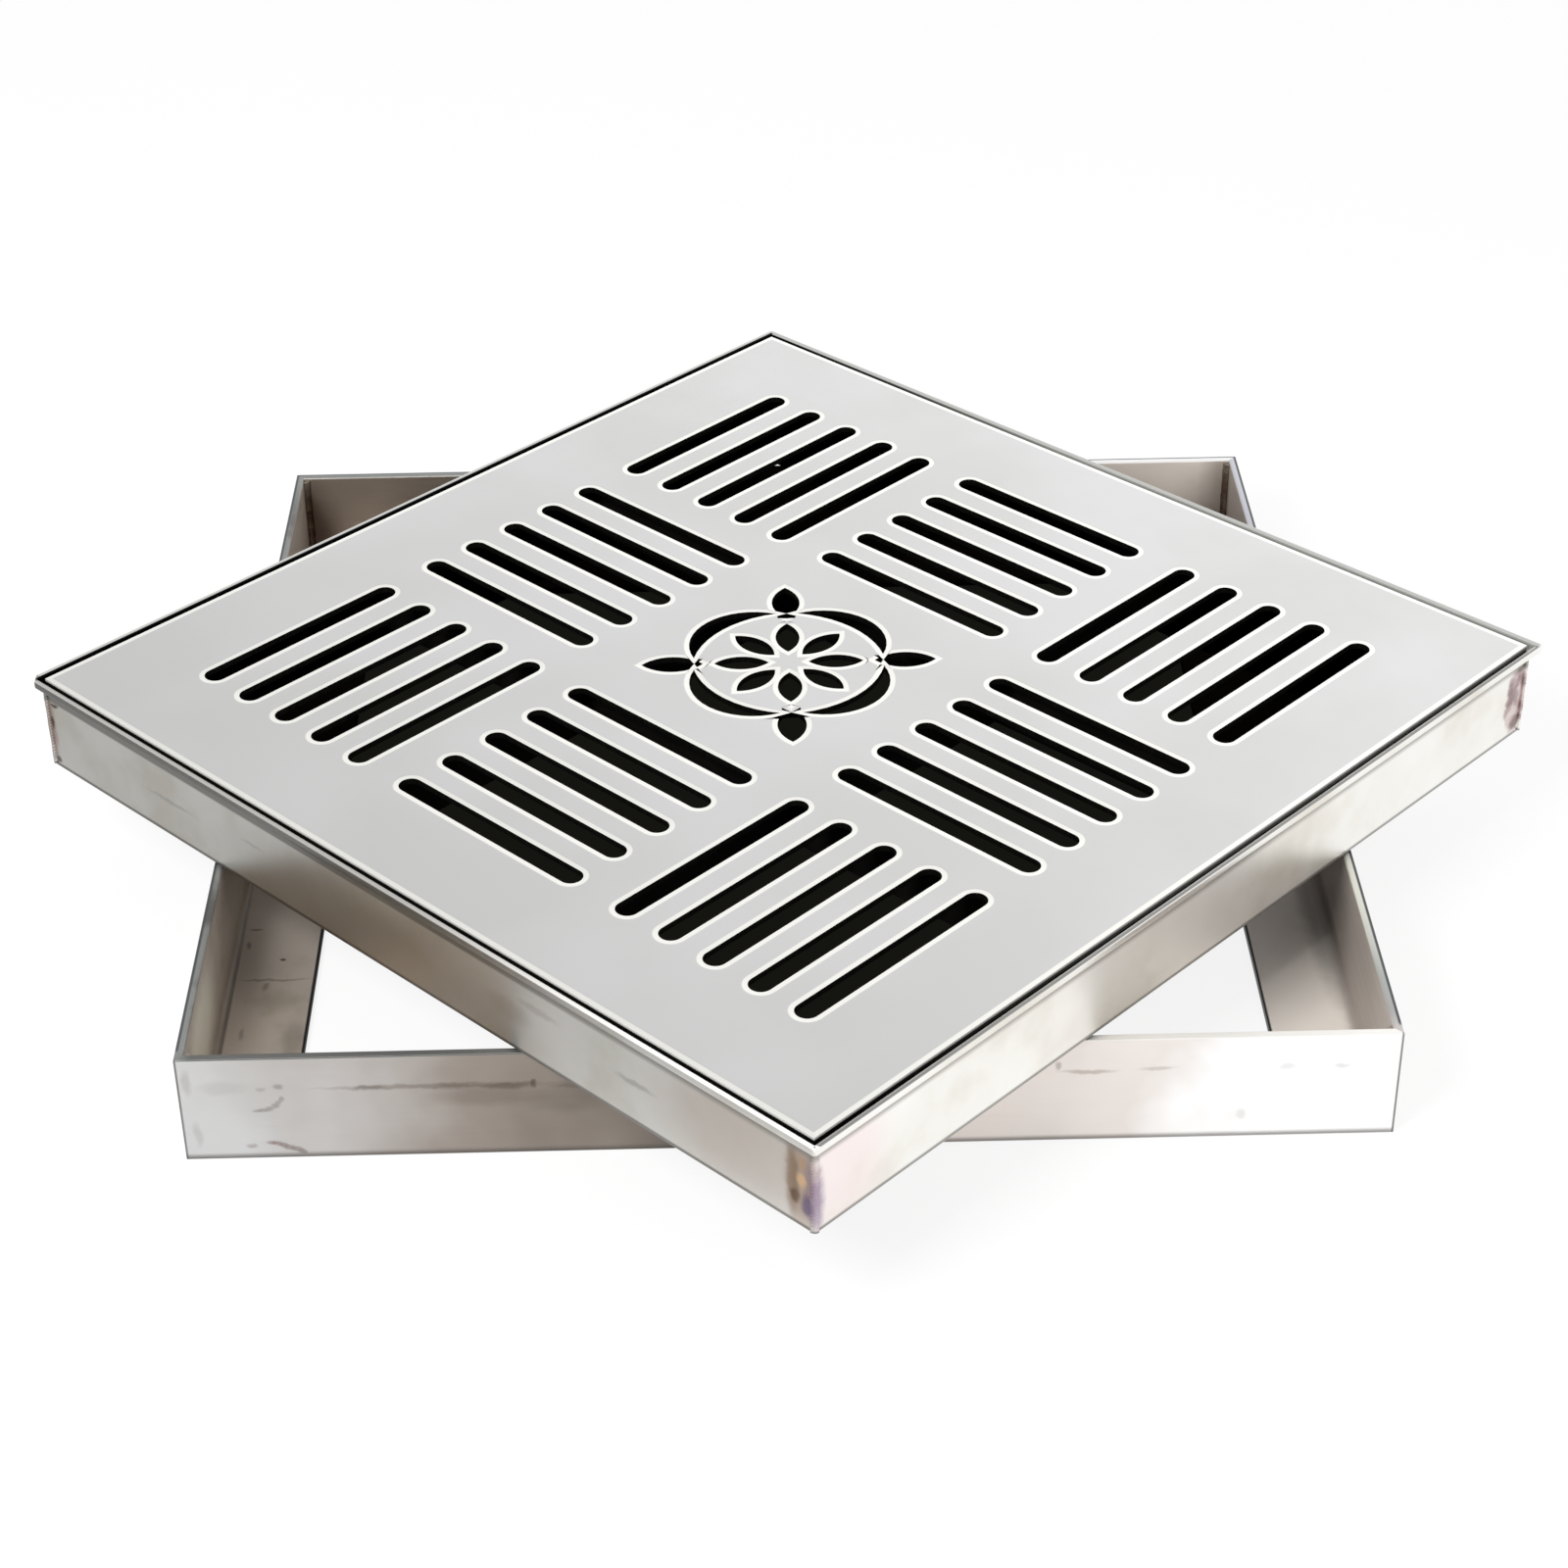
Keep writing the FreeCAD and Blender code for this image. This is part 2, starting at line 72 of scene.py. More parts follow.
back = Vector((
    math.sin(AZIMUTH) * math.cos(ELEVATION),
    -math.cos(AZIMUTH) * math.cos(ELEVATION),
    math.sin(ELEVATION),
))
level = Vector((math.cos(AZIMUTH), math.sin(AZIMUTH), 0.0))
upright = back.cross(level)
right = math.cos(ROLL) * level + math.sin(ROLL) * upright
up = math.cos(ROLL) * upright - math.sin(ROLL) * level
lens = bpy.data.cameras.new("viewpoint")
lens.lens = LENS_MM
lens.sensor_width = SENSOR_MM
viewpoint = bpy.data.objects.new("viewpoint", lens)
turned_to_aim = Matrix((right, up, back)).transposed().to_4x4()
viewpoint.matrix_world = Matrix.Translation(AIM + back * DISTANCE) @ turned_to_aim
scene.collection.objects.link(viewpoint)
scene.camera = viewpoint

# Frame of angle bar
# Four mitred lengths of hot-rolled stainless angle lie on the ground, upright leg outside, ledge inside.
# The bar keeps its dull pickled skin, with handling stains, a drip line and heat tint at the corners, and
# painted light and shade laid over it.
MM = 0.001
MERGE = 0.01 * MM
FLAT = math.radians(1.0)
SHARP = math.radians(30.0)
MITRE_SLACK = 0.02
FRAME_SIDES = ("front", "right", "back", "left")
FRAME_ARRIS = 0.4 * MM
ARRIS_STEPS = 2
BAR = 4.0 * MM

front_low, front_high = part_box("frame_angle_front")
back_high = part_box("frame_angle_back")[1]
FRAME_CENTRE = Vector(((front_low.x + front_high.x) / 2, (front_low.y + back_high.y) / 2, 0.0))
FRAME_HALF = (front_high.x - front_low.x) / 2
FRAME_TOP = front_high.z
LEDGE_EDGE = FRAME_CENTRE.y - front_high.y

# Where a finish of the frame begins (input 1) and is full (input 2), from the frame's middle and the ground
END_TO_END = {1: -FRAME_HALF, 2: FRAME_HALF}
OUTER_FACE = {1: FRAME_HALF - 0.9 * MM, 2: FRAME_HALF - 0.5 * MM}
INNER_FACE = {1: FRAME_HALF - BAR + 0.8 * MM, 2: FRAME_HALF - BAR + 0.2 * MM}
UPRIGHT_LEG = {1: 241.5 * MM, 2: 245.5 * MM}
RIGHT_BAR = {1: 230 * MM, 2: 240 * MM}
BACK_BAR = {1: 200 * MM, 2: 240 * MM}
BACK_LEG = {1: 238 * MM, 2: 245 * MM}
BROWNER_LEFT = {1: 60 * MM, 2: -120 * MM}
DULLER_RIGHT = {1: 0.0, 2: 60 * MM}
FOOT_SHADE = {1: 3.5 * MM, 2: 0.6 * MM}
SAWN_LEDGE = {1: LEDGE_EDGE + 1.2 * MM, 2: LEDGE_EDGE + 0.6 * MM}
SAWN_TOP = {1: FRAME_TOP - 0.8 * MM, 2: FRAME_TOP - 0.5 * MM}
OUTER_ARRIS_SHADE = {1: FRAME_HALF - 1.5 * MM, 2: FRAME_HALF - 1.1 * MM}
BEHIND_FRONT = {1: -245 * MM, 2: -243 * MM}
CORNER_ARRIS_SHADE = {1: FRAME_HALF - 1.2 * MM, 2: FRAME_HALF - 0.5 * MM}

# The same for marks and the painted shade under the cover, in half-sizes from their middle, and the usual
# span of noise
MARK_RIM = {1: 1.0, 2: 0.3}
COVER_SHADE_RIM = {1: 1.25, 2: 0.72}
NOISE = {1: 0.3, 2: 0.7}

# Painted shade on the ledges and inner walls, below and behind the cover: middle and half-size in mm
COVER_SHADE = (
    ((-227, 95, 0), (60, 50, 14)),
    ((227, 100, 0), (60, 80, 14)),
    ((246, 56, 26), (12, 72, 60)),
    ((0, 227, 0), (195, 60, 14)),
    ((-17, 246, 26), (102, 12, 60)),
)

# A painted highlight low on the left end, then stains and scuffs on the front bar: middle and half-size
# along the frame's axes in mm, colour, share
FRAME_MARKS = (
    ((-238, -250, 10), (34, 8, 26), "#dedede", 0.80),
    ((-232, -250, 37), (14, 8, 5), "#aeaba7", 0.25),
    ((-246, -250, 40), (3, 8, 9), "#938c84", 0.30),
    ((-244, -250, 13), (2.4, 8, 9), "#a5a3a0", 0.30),
    ((-142, -250, 36), (66, 8, 1.8), "#75695f", 0.50),
    ((-172, -250, 35.5), (9, 8, 1.6), "#6b5f55", 0.45),
    ((-137, -250, 35), (12, 8, 1.8), "#6b5f55", 0.45),
    ((-116, -250, 35), (16, 8, 2.2), "#5d5047", 0.60),
    ((-105, -250, 36), (2.2, 8, 3.0), "#463a31", 0.60),
    ((-88, -250, 34.5), (13, 8, 1.8), "#62574e", 0.45),
    ((-124, -250, 30), (30, 8, 7.0), "#766b62", 0.40),
    ((-92, -250, 28), (20, 8, 10.0), "#6b625a", 0.35),
    ((-209, -250, 37.5), (2.8, 8, 1.8), "#857f7b", 0.50),
    ((-216, -250, 36), (3.4, 8, 1.5), "#8f8a86", 0.35),
    ((-208, -250, 31), (2.0, 8, 2.2), "#7f7974", 0.45),
    ((-209.5, -250, 29), (2.2, 8, 2.0), "#7f7974", 0.45),
    ((-211, -250, 27.2), (2.4, 8, 1.7), "#7f7974", 0.50),
    ((-213.5, -250, 25.7), (2.6, 8, 1.5), "#7a746f", 0.50),
    ((-216, -250, 24.9), (2.8, 8, 1.4), "#7a746f", 0.50),
    ((-218.6, -250, 24.9), (2.8, 8, 1.3), "#7a746f", 0.40),
    ((-222.5, -250, 6.6), (3.2, 8, 1.6), "#8d7f78", 0.45),
    ((-214, -250, 8.2), (3.4, 8, 1.5), "#77584b", 0.50),
    ((-211.6, -250, 7.7), (3.2, 8, 1.6), "#77584b", 0.50),
    ((-209.2, -250, 6.8), (3.2, 8, 1.7), "#6d4e41", 0.50),
    ((-206.8, -250, 5.7), (3.2, 8, 1.8), "#6d4e41", 0.50),
    ((-204.4, -250, 4.4), (3.2, 8, 1.8), "#6d4e41", 0.50),
    ((-202, -250, 3.0), (3.2, 8, 1.8), "#5f463b", 0.50),
    ((122, -250, 36), (15, 8, 1.6), "#a79a90", 0.60),
    ((150, -250, 37), (10, 8, 1.4), "#b3a8a0", 0.55),
    ((109, -250, 39), (1.8, 8, 3.0), "#8a7e74", 0.50),
    ((186, -250, 12), (3, 8, 4.0), "#c9c9c9", 0.50),
    ((203, -250, 36), (5, 8, 2.5), "#cfcfcf", 0.50),
    ((226, -250, 36), (5, 8, 1.6), "#c5c5c5", 0.50),
)

# The same on the inner faces: painted highlights on the left wall, painted shade at the right bar's root,
# and the brown tint of the welds in the back corners, deepened there as painted shade
LINING_MARKS = (
    ((-224, -118, 4), (1.8, 1.4, 6), "#3b2e25", 0.85),
    ((-238, -95, 4), (4, 1.3, 6), "#5d5147", 0.55),
    ((-240, -107, 4), (1.6, 4.0, 6), "#5d5147", 0.50),
    ((-229, -138, 4), (2, 4.0, 6), "#66584c", 0.45),
    ((-226, -133, 4), (22, 1.2, 6), "#6b5f55", 0.45),
    ((-236, -172, 4), (1.8, 6.0, 6), "#6b6057", 0.40),
    ((-213, -176, 4), (7, 18, 6), "#7d7568", 0.40),
    # Painted highlights on the left inner wall
    ((-246, -205, 30), (8, 52, 28), "#fffcee", 0.90),
    ((-246, -92, 32), (6, 34, 40), "#d2cab8", 0.55),
    # Weld tint in the back-left corner, deepened as painted shade, then a paler stretch of the left wall
    ((-246, 246, 12), (24, 9, 50), "#4c3229", 0.60),
    ((-246, 196, 30), (4, 48, 50), "#d2c9bf", 0.60),
    # Weld tint in the back-right corner, deepened as painted shade, then a weld spot at the front right
    ((246, 246, 6), (46, 12, 54), "#3a2d22", 0.95),
    ((246, -246, 52), (5, 5, 4.0), "#8a6654", 0.75),
    # Darker stretches of the back and right inner walls
    ((180, 246, 30), (90, 6, 50), "#cfc5bc", 0.75),
    ((246, 200, 26), (6, 70, 50), "#8f8780", 0.80),
    # Painted shade along the root of the right bar's ledge, then a darker stretch of the right wall
    ((242, -100, 6), (11, 90, 10), "#6b6561", 0.50),
    ((246, -170, 28), (8, 85, 50), "#8d8480", 0.50),
)

# Painted shade as a dark line in the root of the left bar's ledge, beside a painted highlight as a light one
FRAME_LINES = (
    ((-243.8, -140, 4.3), (1.3, 150, 1.7), "#453a33", 0.65),
    ((-246.0, -140, 6.2), (1.4, 150, 1.8), "#d6ccbf", 0.45),
)

# Settings and socket numbers that the materials share
SMOOTH = {"interpolation_type": "SMOOTHSTEP"}
COLOUR = {"data_type": "RGBA"}
MIX_A = 6
MIX_B = 7
MIXED = 2


def linear(code):
    """Linear colour of an sRGB hex value."""
    shares = [int(code[i:i + 2], 16) / 255 for i in (1, 3, 5)]
    return [s / 12.92 if s <= 0.04045 else ((s + 0.055) / 1.055) ** 2.4 for s in shares] + [1.0]


def add(tree, kind, settings=(), inputs=(), out=0, stops=()):
    """Add a node with its settings, values, links and ramp stops, and give back one of its outputs."""
    node = tree.nodes.new(kind)
    for name, value in dict(settings).items():
        setattr(node, name, value)
    for key, value in dict(inputs).items():
        if isinstance(value, bpy.types.NodeSocket):
            tree.links.new(value, node.inputs[key])
        else:
            node.inputs[key].default_value = value
    for number, (place, code) in enumerate(stops):
        elements = node.color_ramp.elements
        element = elements[number] if number < len(elements) else elements.new(place)
        element.position = place
        element.color = linear(code)
    return node.outputs[out] if len(node.outputs) else None


def new_material(name):
    """Material with an empty node tree."""
    material = bpy.data.materials.new(name)
    material.use_nodes = True
    material.node_tree.nodes.clear()
    return material, material.node_tree


def joined_copy(node):
    """Copy of a solid's mesh with its loose triangles joined and its flat faces made whole."""
    form = bmesh.new()
    form.from_mesh(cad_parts[node].data)
    bmesh.ops.remove_doubles(form, verts=form.verts, dist=MERGE)
    bmesh.ops.dissolve_limit(form, angle_limit=FLAT, verts=form.verts, edges=form.edges)
    return form


def is_mitre(normal):
    """Whether a face is a mitred end, at half a right angle to the sides."""
    return abs(abs(normal.x) - abs(normal.y)) < MITRE_SLACK and abs(normal.z) < MITRE_SLACK


def with_arrises(form, name, width, to_sides):
    """Mesh with its sharp edges broken by a small round, apart from those of the mitred ends."""
    weights = form.edges.layers.float.new("bevel_weight_edge")
    for face in form.faces:
        face.smooth = True
    for edge in form.edges:
        keen = len(edge.link_faces) == 2 and edge.calc_face_angle() > SHARP
        edge.smooth = not keen
        if keen and not any(is_mitre(to_sides @ face.normal) for face in edge.link_faces):
            edge[weights] = 1.0
    mesh = bpy.data.meshes.new(f"{name}_blank")
    form.to_mesh(mesh)
    form.free()
    blank = bpy.data.objects.new(f"{name}_blank", mesh)
    scene.collection.objects.link(blank)
    rounding = blank.modifiers.new("arris", "BEVEL")
    rounding.limit_method = "WEIGHT"
    rounding.width = width
    rounding.segments = ARRIS_STEPS
    rounding.harden_normals = True
    done = bpy.data.meshes.new_from_object(blank.evaluated_get(bpy.context.evaluated_depsgraph_get()))
    done.name = name
    bpy.data.objects.remove(blank)
    return done


def set_in_place(mesh, name, nodes, materials):
    """Object of a finished mesh that stands for CAD nodes and rides with the part."""
    if len(mesh.materials):
        mesh.materials.clear()
    for material in materials:
        mesh.materials.append(material)
    piece = bpy.data.objects.new(name, mesh)
    scene.collection.objects.link(piece)
    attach(piece, "root")
    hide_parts(*nodes)
    return piece


def in_mark(tree, place, middle, half):
    """Place as seen from a mark's middle, in half-sizes of the mark."""
    scale = [1 / (size * MM) for size in half]
    shift = [-m * MM * s for m, s in zip(middle, scale)]
    return add(tree, "ShaderNodeMapping", {}, {"Vector": place, "Location": shift, "Scale": scale})


def with_marks(tree, place, colour, marks):
    """Lay oval stains and spots over a colour, each soft at its rim."""
    for middle, half, code, share in marks:
        mark = in_mark(tree, place, middle, half)
        mark = add(tree, "ShaderNodeVectorMath", {"operation": "LENGTH"}, {0: mark}, "Value")
        mark = add(tree, "ShaderNodeMapRange", SMOOTH, {"Value": mark, **MARK_RIM, 4: share})
        colour = add(tree, "ShaderNodeMix", COLOUR, {0: mark, MIX_A: colour, MIX_B: linear(code)}, MIXED)
    return colour


def ragged(tree, place, size, push, detail):
    """Place pushed to and fro by noise, so that marks laid on it have uneven edges."""
    noise = {"Vector": place, "Scale": 1 / size, "Detail": detail}
    shift = add(tree, "ShaderNodeTexNoise", {}, noise, "Color")
    shift = add(tree, "ShaderNodeVectorMath", {"operation": "SUBTRACT"}, {0: shift, 1: (0.5, 0.5, 0.5)})
    shift = add(tree, "ShaderNodeVectorMath", {"operation": "SCALE"}, {0: shift, "Scale": push})
    return add(tree, "ShaderNodeVectorMath", {"operation": "ADD"}, {0: place, 1: shift})


def hot_rolled_angle():
    """Hot-rolled stainless angle, pickled and handled: silvery at the ends, beige and stained between, with
    painted light and shade.
    """
    material, tree = new_material("hot_rolled_stainless_angle")
    spot = add(tree, "ShaderNodeTexCoord", out="Object")
    place = add(tree, "ShaderNodeMapping", {}, {"Vector": spot, "Location": -FRAME_CENTRE})
    axes = add(tree, "ShaderNodeSeparateXYZ", {}, {0: place}).node.outputs
    apart = add(tree, "ShaderNodeVectorMath", {"operation": "ABSOLUTE"}, {0: place})
    apart = add(tree, "ShaderNodeSeparateXYZ", {}, {0: apart}).node.outputs
    square = add(tree, "ShaderNodeMath", {"operation": "MAXIMUM"}, {0: apart["X"], 1: apart["Y"]})

    # Pickled skin from end to end of the bars: pale left end, beige middle darkened left of the middle as
    # painted shade of the cover, and a bright right end that is painted light
    cloud = add(tree, "ShaderNodeTexNoise", {}, {"Vector": place, "Scale": 1 / (60 * MM), "Detail": 3.0})
    sway = add(tree, "ShaderNodeMapRange", {}, {"Value": cloud, **NOISE, 3: -0.05, 4: 0.05})
    reach = add(tree, "ShaderNodeMapRange", {}, {"Value": axes["X"], **END_TO_END})
    reach = add(tree, "ShaderNodeMath", {"operation": "ADD"}, {0: reach, 1: sway})
    outside = (
        (0.0, "#dcdcdc"),
        (0.14, "#c6c1bd"),
        (0.24, "#a49a92"),
        (0.32, "#90867d"),
        (0.42, "#7d756d"),
        (0.56, "#f8eee6"),
        (0.79, "#e0d9d4"),
        (0.85, "#f4f4f4"),
    )
    colour = add(tree, "ShaderNodeValToRGB", {}, {"Fac": reach}, stops=outside)
    away = add(tree, "ShaderNodeMath", {"operation": "MAXIMUM"}, {0: apart["X"], 1: axes["Y"]})
    away = add(tree, "ShaderNodeMapRange", {}, {"Value": away, **OUTER_FACE})
    pickled = ((0.32, "#b3aea7"), (0.50, "#c9c4bd"), (0.68, "#dcd8d2"))
    pickled = add(tree, "ShaderNodeValToRGB", {}, {"Fac": cloud}, stops=pickled)
    colour = add(tree, "ShaderNodeMix", COLOUR, {0: away, MIX_A: colour, MIX_B: pickled}, MIXED)
    rag = ragged(tree, place, size=6 * MM, push=3.5 * MM, detail=3.0)
    colour = with_marks(tree, rag, colour, FRAME_MARKS)

    # The inside is browner, more so at the back, with mottled stains, and paler towards the right as painted
    # light
    inner = add(tree, "ShaderNodeMapRange", {}, {"Value": square, **INNER_FACE})
    lining = ((0.0, "#d0c4b8"), (0.40, "#cdc1b4"), (0.70, "#f6ede4"), (1.0, "#fbf3ea"))
    lining = add(tree, "ShaderNodeValToRGB", {}, {"Fac": reach}, stops=lining)
    upright = add(tree, "ShaderNodeMapRange", SMOOTH, {"Value": square, **UPRIGHT_LEG})
    upright = add(tree, "ShaderNodeMapRange", {}, {"Value": axes["X"], **RIGHT_BAR, 4: upright})
    mottle = add(tree, "ShaderNodeTexNoise", {}, {"Vector": place, "Scale": 1 / (26 * MM), "Detail": 5.0})
    mottle = add(tree, "ShaderNodeMapRange", SMOOTH, {"Value": mottle, 1: 0.46, 2: 0.74, 4: 0.50})
    mottle = add(tree, "ShaderNodeMapRange", SMOOTH, {"Value": reach, 1: 0.9, 2: 0.3, 4: mottle})
    far = add(tree, "ShaderNodeMapRange", SMOOTH, {"Value": axes["Y"], **BACK_LEG, 4: 0.85})
    far = add(tree, "ShaderNodeMapRange", SMOOTH, {"Value": axes["X"], **BROWNER_LEFT, 4: far})
    for share, code in ((upright, "#bfb5ac"), (mottle, "#a39683"), (far, "#82766a")):
        lining = add(tree, "ShaderNodeMix", COLOUR, {0: share, MIX_A: lining, MIX_B: linear(code)}, MIXED)
    lining = with_marks(tree, rag, lining, LINING_MARKS)
    lining = with_marks(tree, place, lining, FRAME_LINES)
    colour = add(tree, "ShaderNodeMix", COLOUR, {0: inner, MIX_A: colour, MIX_B: lining}, MIXED)

    # A dark foot line painted as shade where the bars meet the ground, and black sawn edges of the ledges,
    # painted as shade on these faces
    foot = add(tree, "ShaderNodeMapRange", SMOOTH, {"Value": axes["Z"], **FOOT_SHADE, 4: 0.75})
    foot = add(tree, "ShaderNodeMapRange", {}, {"Value": inner, 1: 1.0, 2: 0.0, 4: foot})
    sawn = add(tree, "ShaderNodeMapRange", {}, {"Value": square, **SAWN_LEDGE})
    for share, code in ((foot, "#5c5752"), (sawn, "#121110")):
        colour = add(tree, "ShaderNodeMix", COLOUR, {0: share, MIX_A: colour, MIX_B: linear(code)}, MIXED)

    # Sawn top edge: grey, with painted light that makes it white towards the right and in the middle of the
    # right bar, and a dark outline painted as shade on its outer arris and at the outer corners
    top = add(tree, "ShaderNodeMapRange", {}, {"Value": axes["Z"], **SAWN_TOP})
    edge = ((0.0, "#8b8d8b"), (0.02, "#676866"), (0.45, "#6f706e"), (0.62, "#d9d6d1"), (0.97, "#f4f2ee"))
    edge = add(tree, "ShaderNodeValToRGB", {}, {"Fac": reach}, stops=edge)
    back_edge = ((0.0, "#8d8f8d"), (0.5, "#9fa09e"), (0.85, "#f4f4f4"))
    back_edge = add(tree, "ShaderNodeValToRGB", {}, {"Fac": reach}, stops=back_edge)
    back_bar = add(tree, "ShaderNodeMapRange", {}, {"Value": axes["Y"], **BACK_BAR})
    right_edge = (
        (0.0, "#d2cbc9"),
        (0.03, "#adadac"),
        (0.08, "#b2b4b2"),
        (0.12, "#c9ccc5"),
        (0.18, "#e2e2da"),
        (0.45, "#dedfd6"),
        (0.75, "#bcbdc6"),
        (1.0, "#c9cad0"),
    )
    right_reach = add(tree, "ShaderNodeMapRange", {}, {"Value": axes["Y"], **END_TO_END})
    right_edge = add(tree, "ShaderNodeValToRGB", {}, {"Fac": right_reach}, stops=right_edge)
    right_bar = add(tree, "ShaderNodeMath", {"operation": "GREATER_THAN"}, {0: axes["X"], 1: apart["Y"]})
    arris_shade = add(tree, "ShaderNodeMapRange", {}, {"Value": square, **OUTER_ARRIS_SHADE})
    arris_shade = add(tree, "ShaderNodeMapRange", {}, {"Value": axes["Y"], **BEHIND_FRONT, 4: arris_shade})
    for share, finish in ((back_bar, back_edge), (right_bar, right_edge), (arris_shade, linear("#56585a"))):
        edge = add(tree, "ShaderNodeMix", COLOUR, {0: share, MIX_A: edge, MIX_B: finish}, MIXED)
    corner = add(tree, "ShaderNodeMath", {"operation": "MINIMUM"}, {0: apart["X"], 1: apart["Y"]})
    corner = add(tree, "ShaderNodeMapRange", SMOOTH, {"Value": corner, **CORNER_ARRIS_SHADE, 4: 0.75})

    # Painted shade below and behind the cover: nearly black patches with uneven edges
    patch = ragged(tree, place, size=20 * MM, push=12 * MM, detail=4.0)
    covered = 0.0
    for middle, half in COVER_SHADE:
        box = in_mark(tree, patch, middle, half)
        box = add(tree, "ShaderNodeVectorMath", {"operation": "ABSOLUTE"}, {0: box})
        box = add(tree, "ShaderNodeSeparateXYZ", {}, {0: box}).node.outputs
        wide = add(tree, "ShaderNodeMath", {"operation": "MAXIMUM"}, {0: box["X"], 1: box["Y"]})
        wide = add(tree, "ShaderNodeMath", {"operation": "MAXIMUM"}, {0: wide, 1: box["Z"]})
        shaded = add(tree, "ShaderNodeMapRange", SMOOTH, {"Value": wide, **COVER_SHADE_RIM})
        covered = add(tree, "ShaderNodeMath", {"operation": "MAXIMUM"}, {0: shaded, 1: covered})
    held = add(tree, "ShaderNodeMath", {"operation": "MAXIMUM"}, {0: inner, 1: top})
    covered = add(tree, "ShaderNodeMath", {"operation": "MULTIPLY"}, {0: covered, 1: held})
    for share, finish in ((top, edge), (corner, linear("#5f5f5d")), (covered, linear("#110e0b"))):
        colour = add(tree, "ShaderNodeMix", COLOUR, {0: share, MIX_A: colour, MIX_B: finish}, MIXED)

    # Rolling lines run along the bar, drawn coarser than they are so that they show
    lines = add(tree, "ShaderNodeMapping", {}, {"Vector": place, "Scale": (0.05, 0.05, 1.0)})
    lines = add(tree, "ShaderNodeTexNoise", {}, {"Vector": lines, "Scale": 1 / (2.5 * MM), "Detail": 2.0})
    roughness = add(tree, "ShaderNodeMapRange", {}, {"Value": lines, **NOISE, 3: 0.36, 4: 0.50})
    bump = add(tree, "ShaderNodeBump", {}, {"Strength": 0.15, "Distance": 0.2 * MM, "Height": lines})

    # The skin is duller inside the right half, and without any shine under the cover
    shine = add(tree, "ShaderNodeMapRange", {}, {"Value": axes["X"], **DULLER_RIGHT, 4: inner})
    shine = add(tree, "ShaderNodeMapRange", {}, {"Value": shine, 3: 0.6, 4: 0.15})
    clean = add(tree, "ShaderNodeMath", {"operation": "SUBTRACT"}, {0: 1.0, 1: covered})
    shine = add(tree, "ShaderNodeMath", {"operation": "MULTIPLY"}, {0: shine, 1: clean})
    gloss = add(tree, "ShaderNodeMath", {"operation": "MULTIPLY"}, {0: clean, 1: 0.5})
    shader = add(tree, "ShaderNodeBsdfPrincipled", {}, {
        "Base Color": colour,
        "Metallic": shine,
        "Roughness": roughness,
        "Specular IOR Level": gloss,
        "Normal": bump,
    })
    add(tree, "ShaderNodeOutputMaterial", {}, {"Surface": shader})
    return material


angle_steel = hot_rolled_angle()
for side in FRAME_SIDES:
    node = f"frame_angle_{side}"
    leg = with_arrises(joined_copy(node), f"{node}_bar", FRAME_ARRIS, Matrix.Identity(3))
    set_in_place(leg, f"{node}_bar", [node], [angle_steel])

# Welds in the frame's corners
# One upright bead of weld metal closes each inner corner of the frame, laid in short ripples.
# The metal is grey-mauve where the heat has coloured it, with brown spots of oxide.
FRAME_BEAD_RADIUS = 3.0 * MM
RIPPLE_PITCH = 1.6 * MM
RIPPLE_HEIGHT = 0.22 * MM
QUARTER = math.radians(90.0)
BEAD_STEPS = 130
SECTION_STEPS = 14
UNEVEN_SHARE = 4.0
MEAN_SWELL = 2.6
PALE_TOP = {1: FRAME_TOP - 16 * MM, 2: FRAME_TOP - 1 * MM}


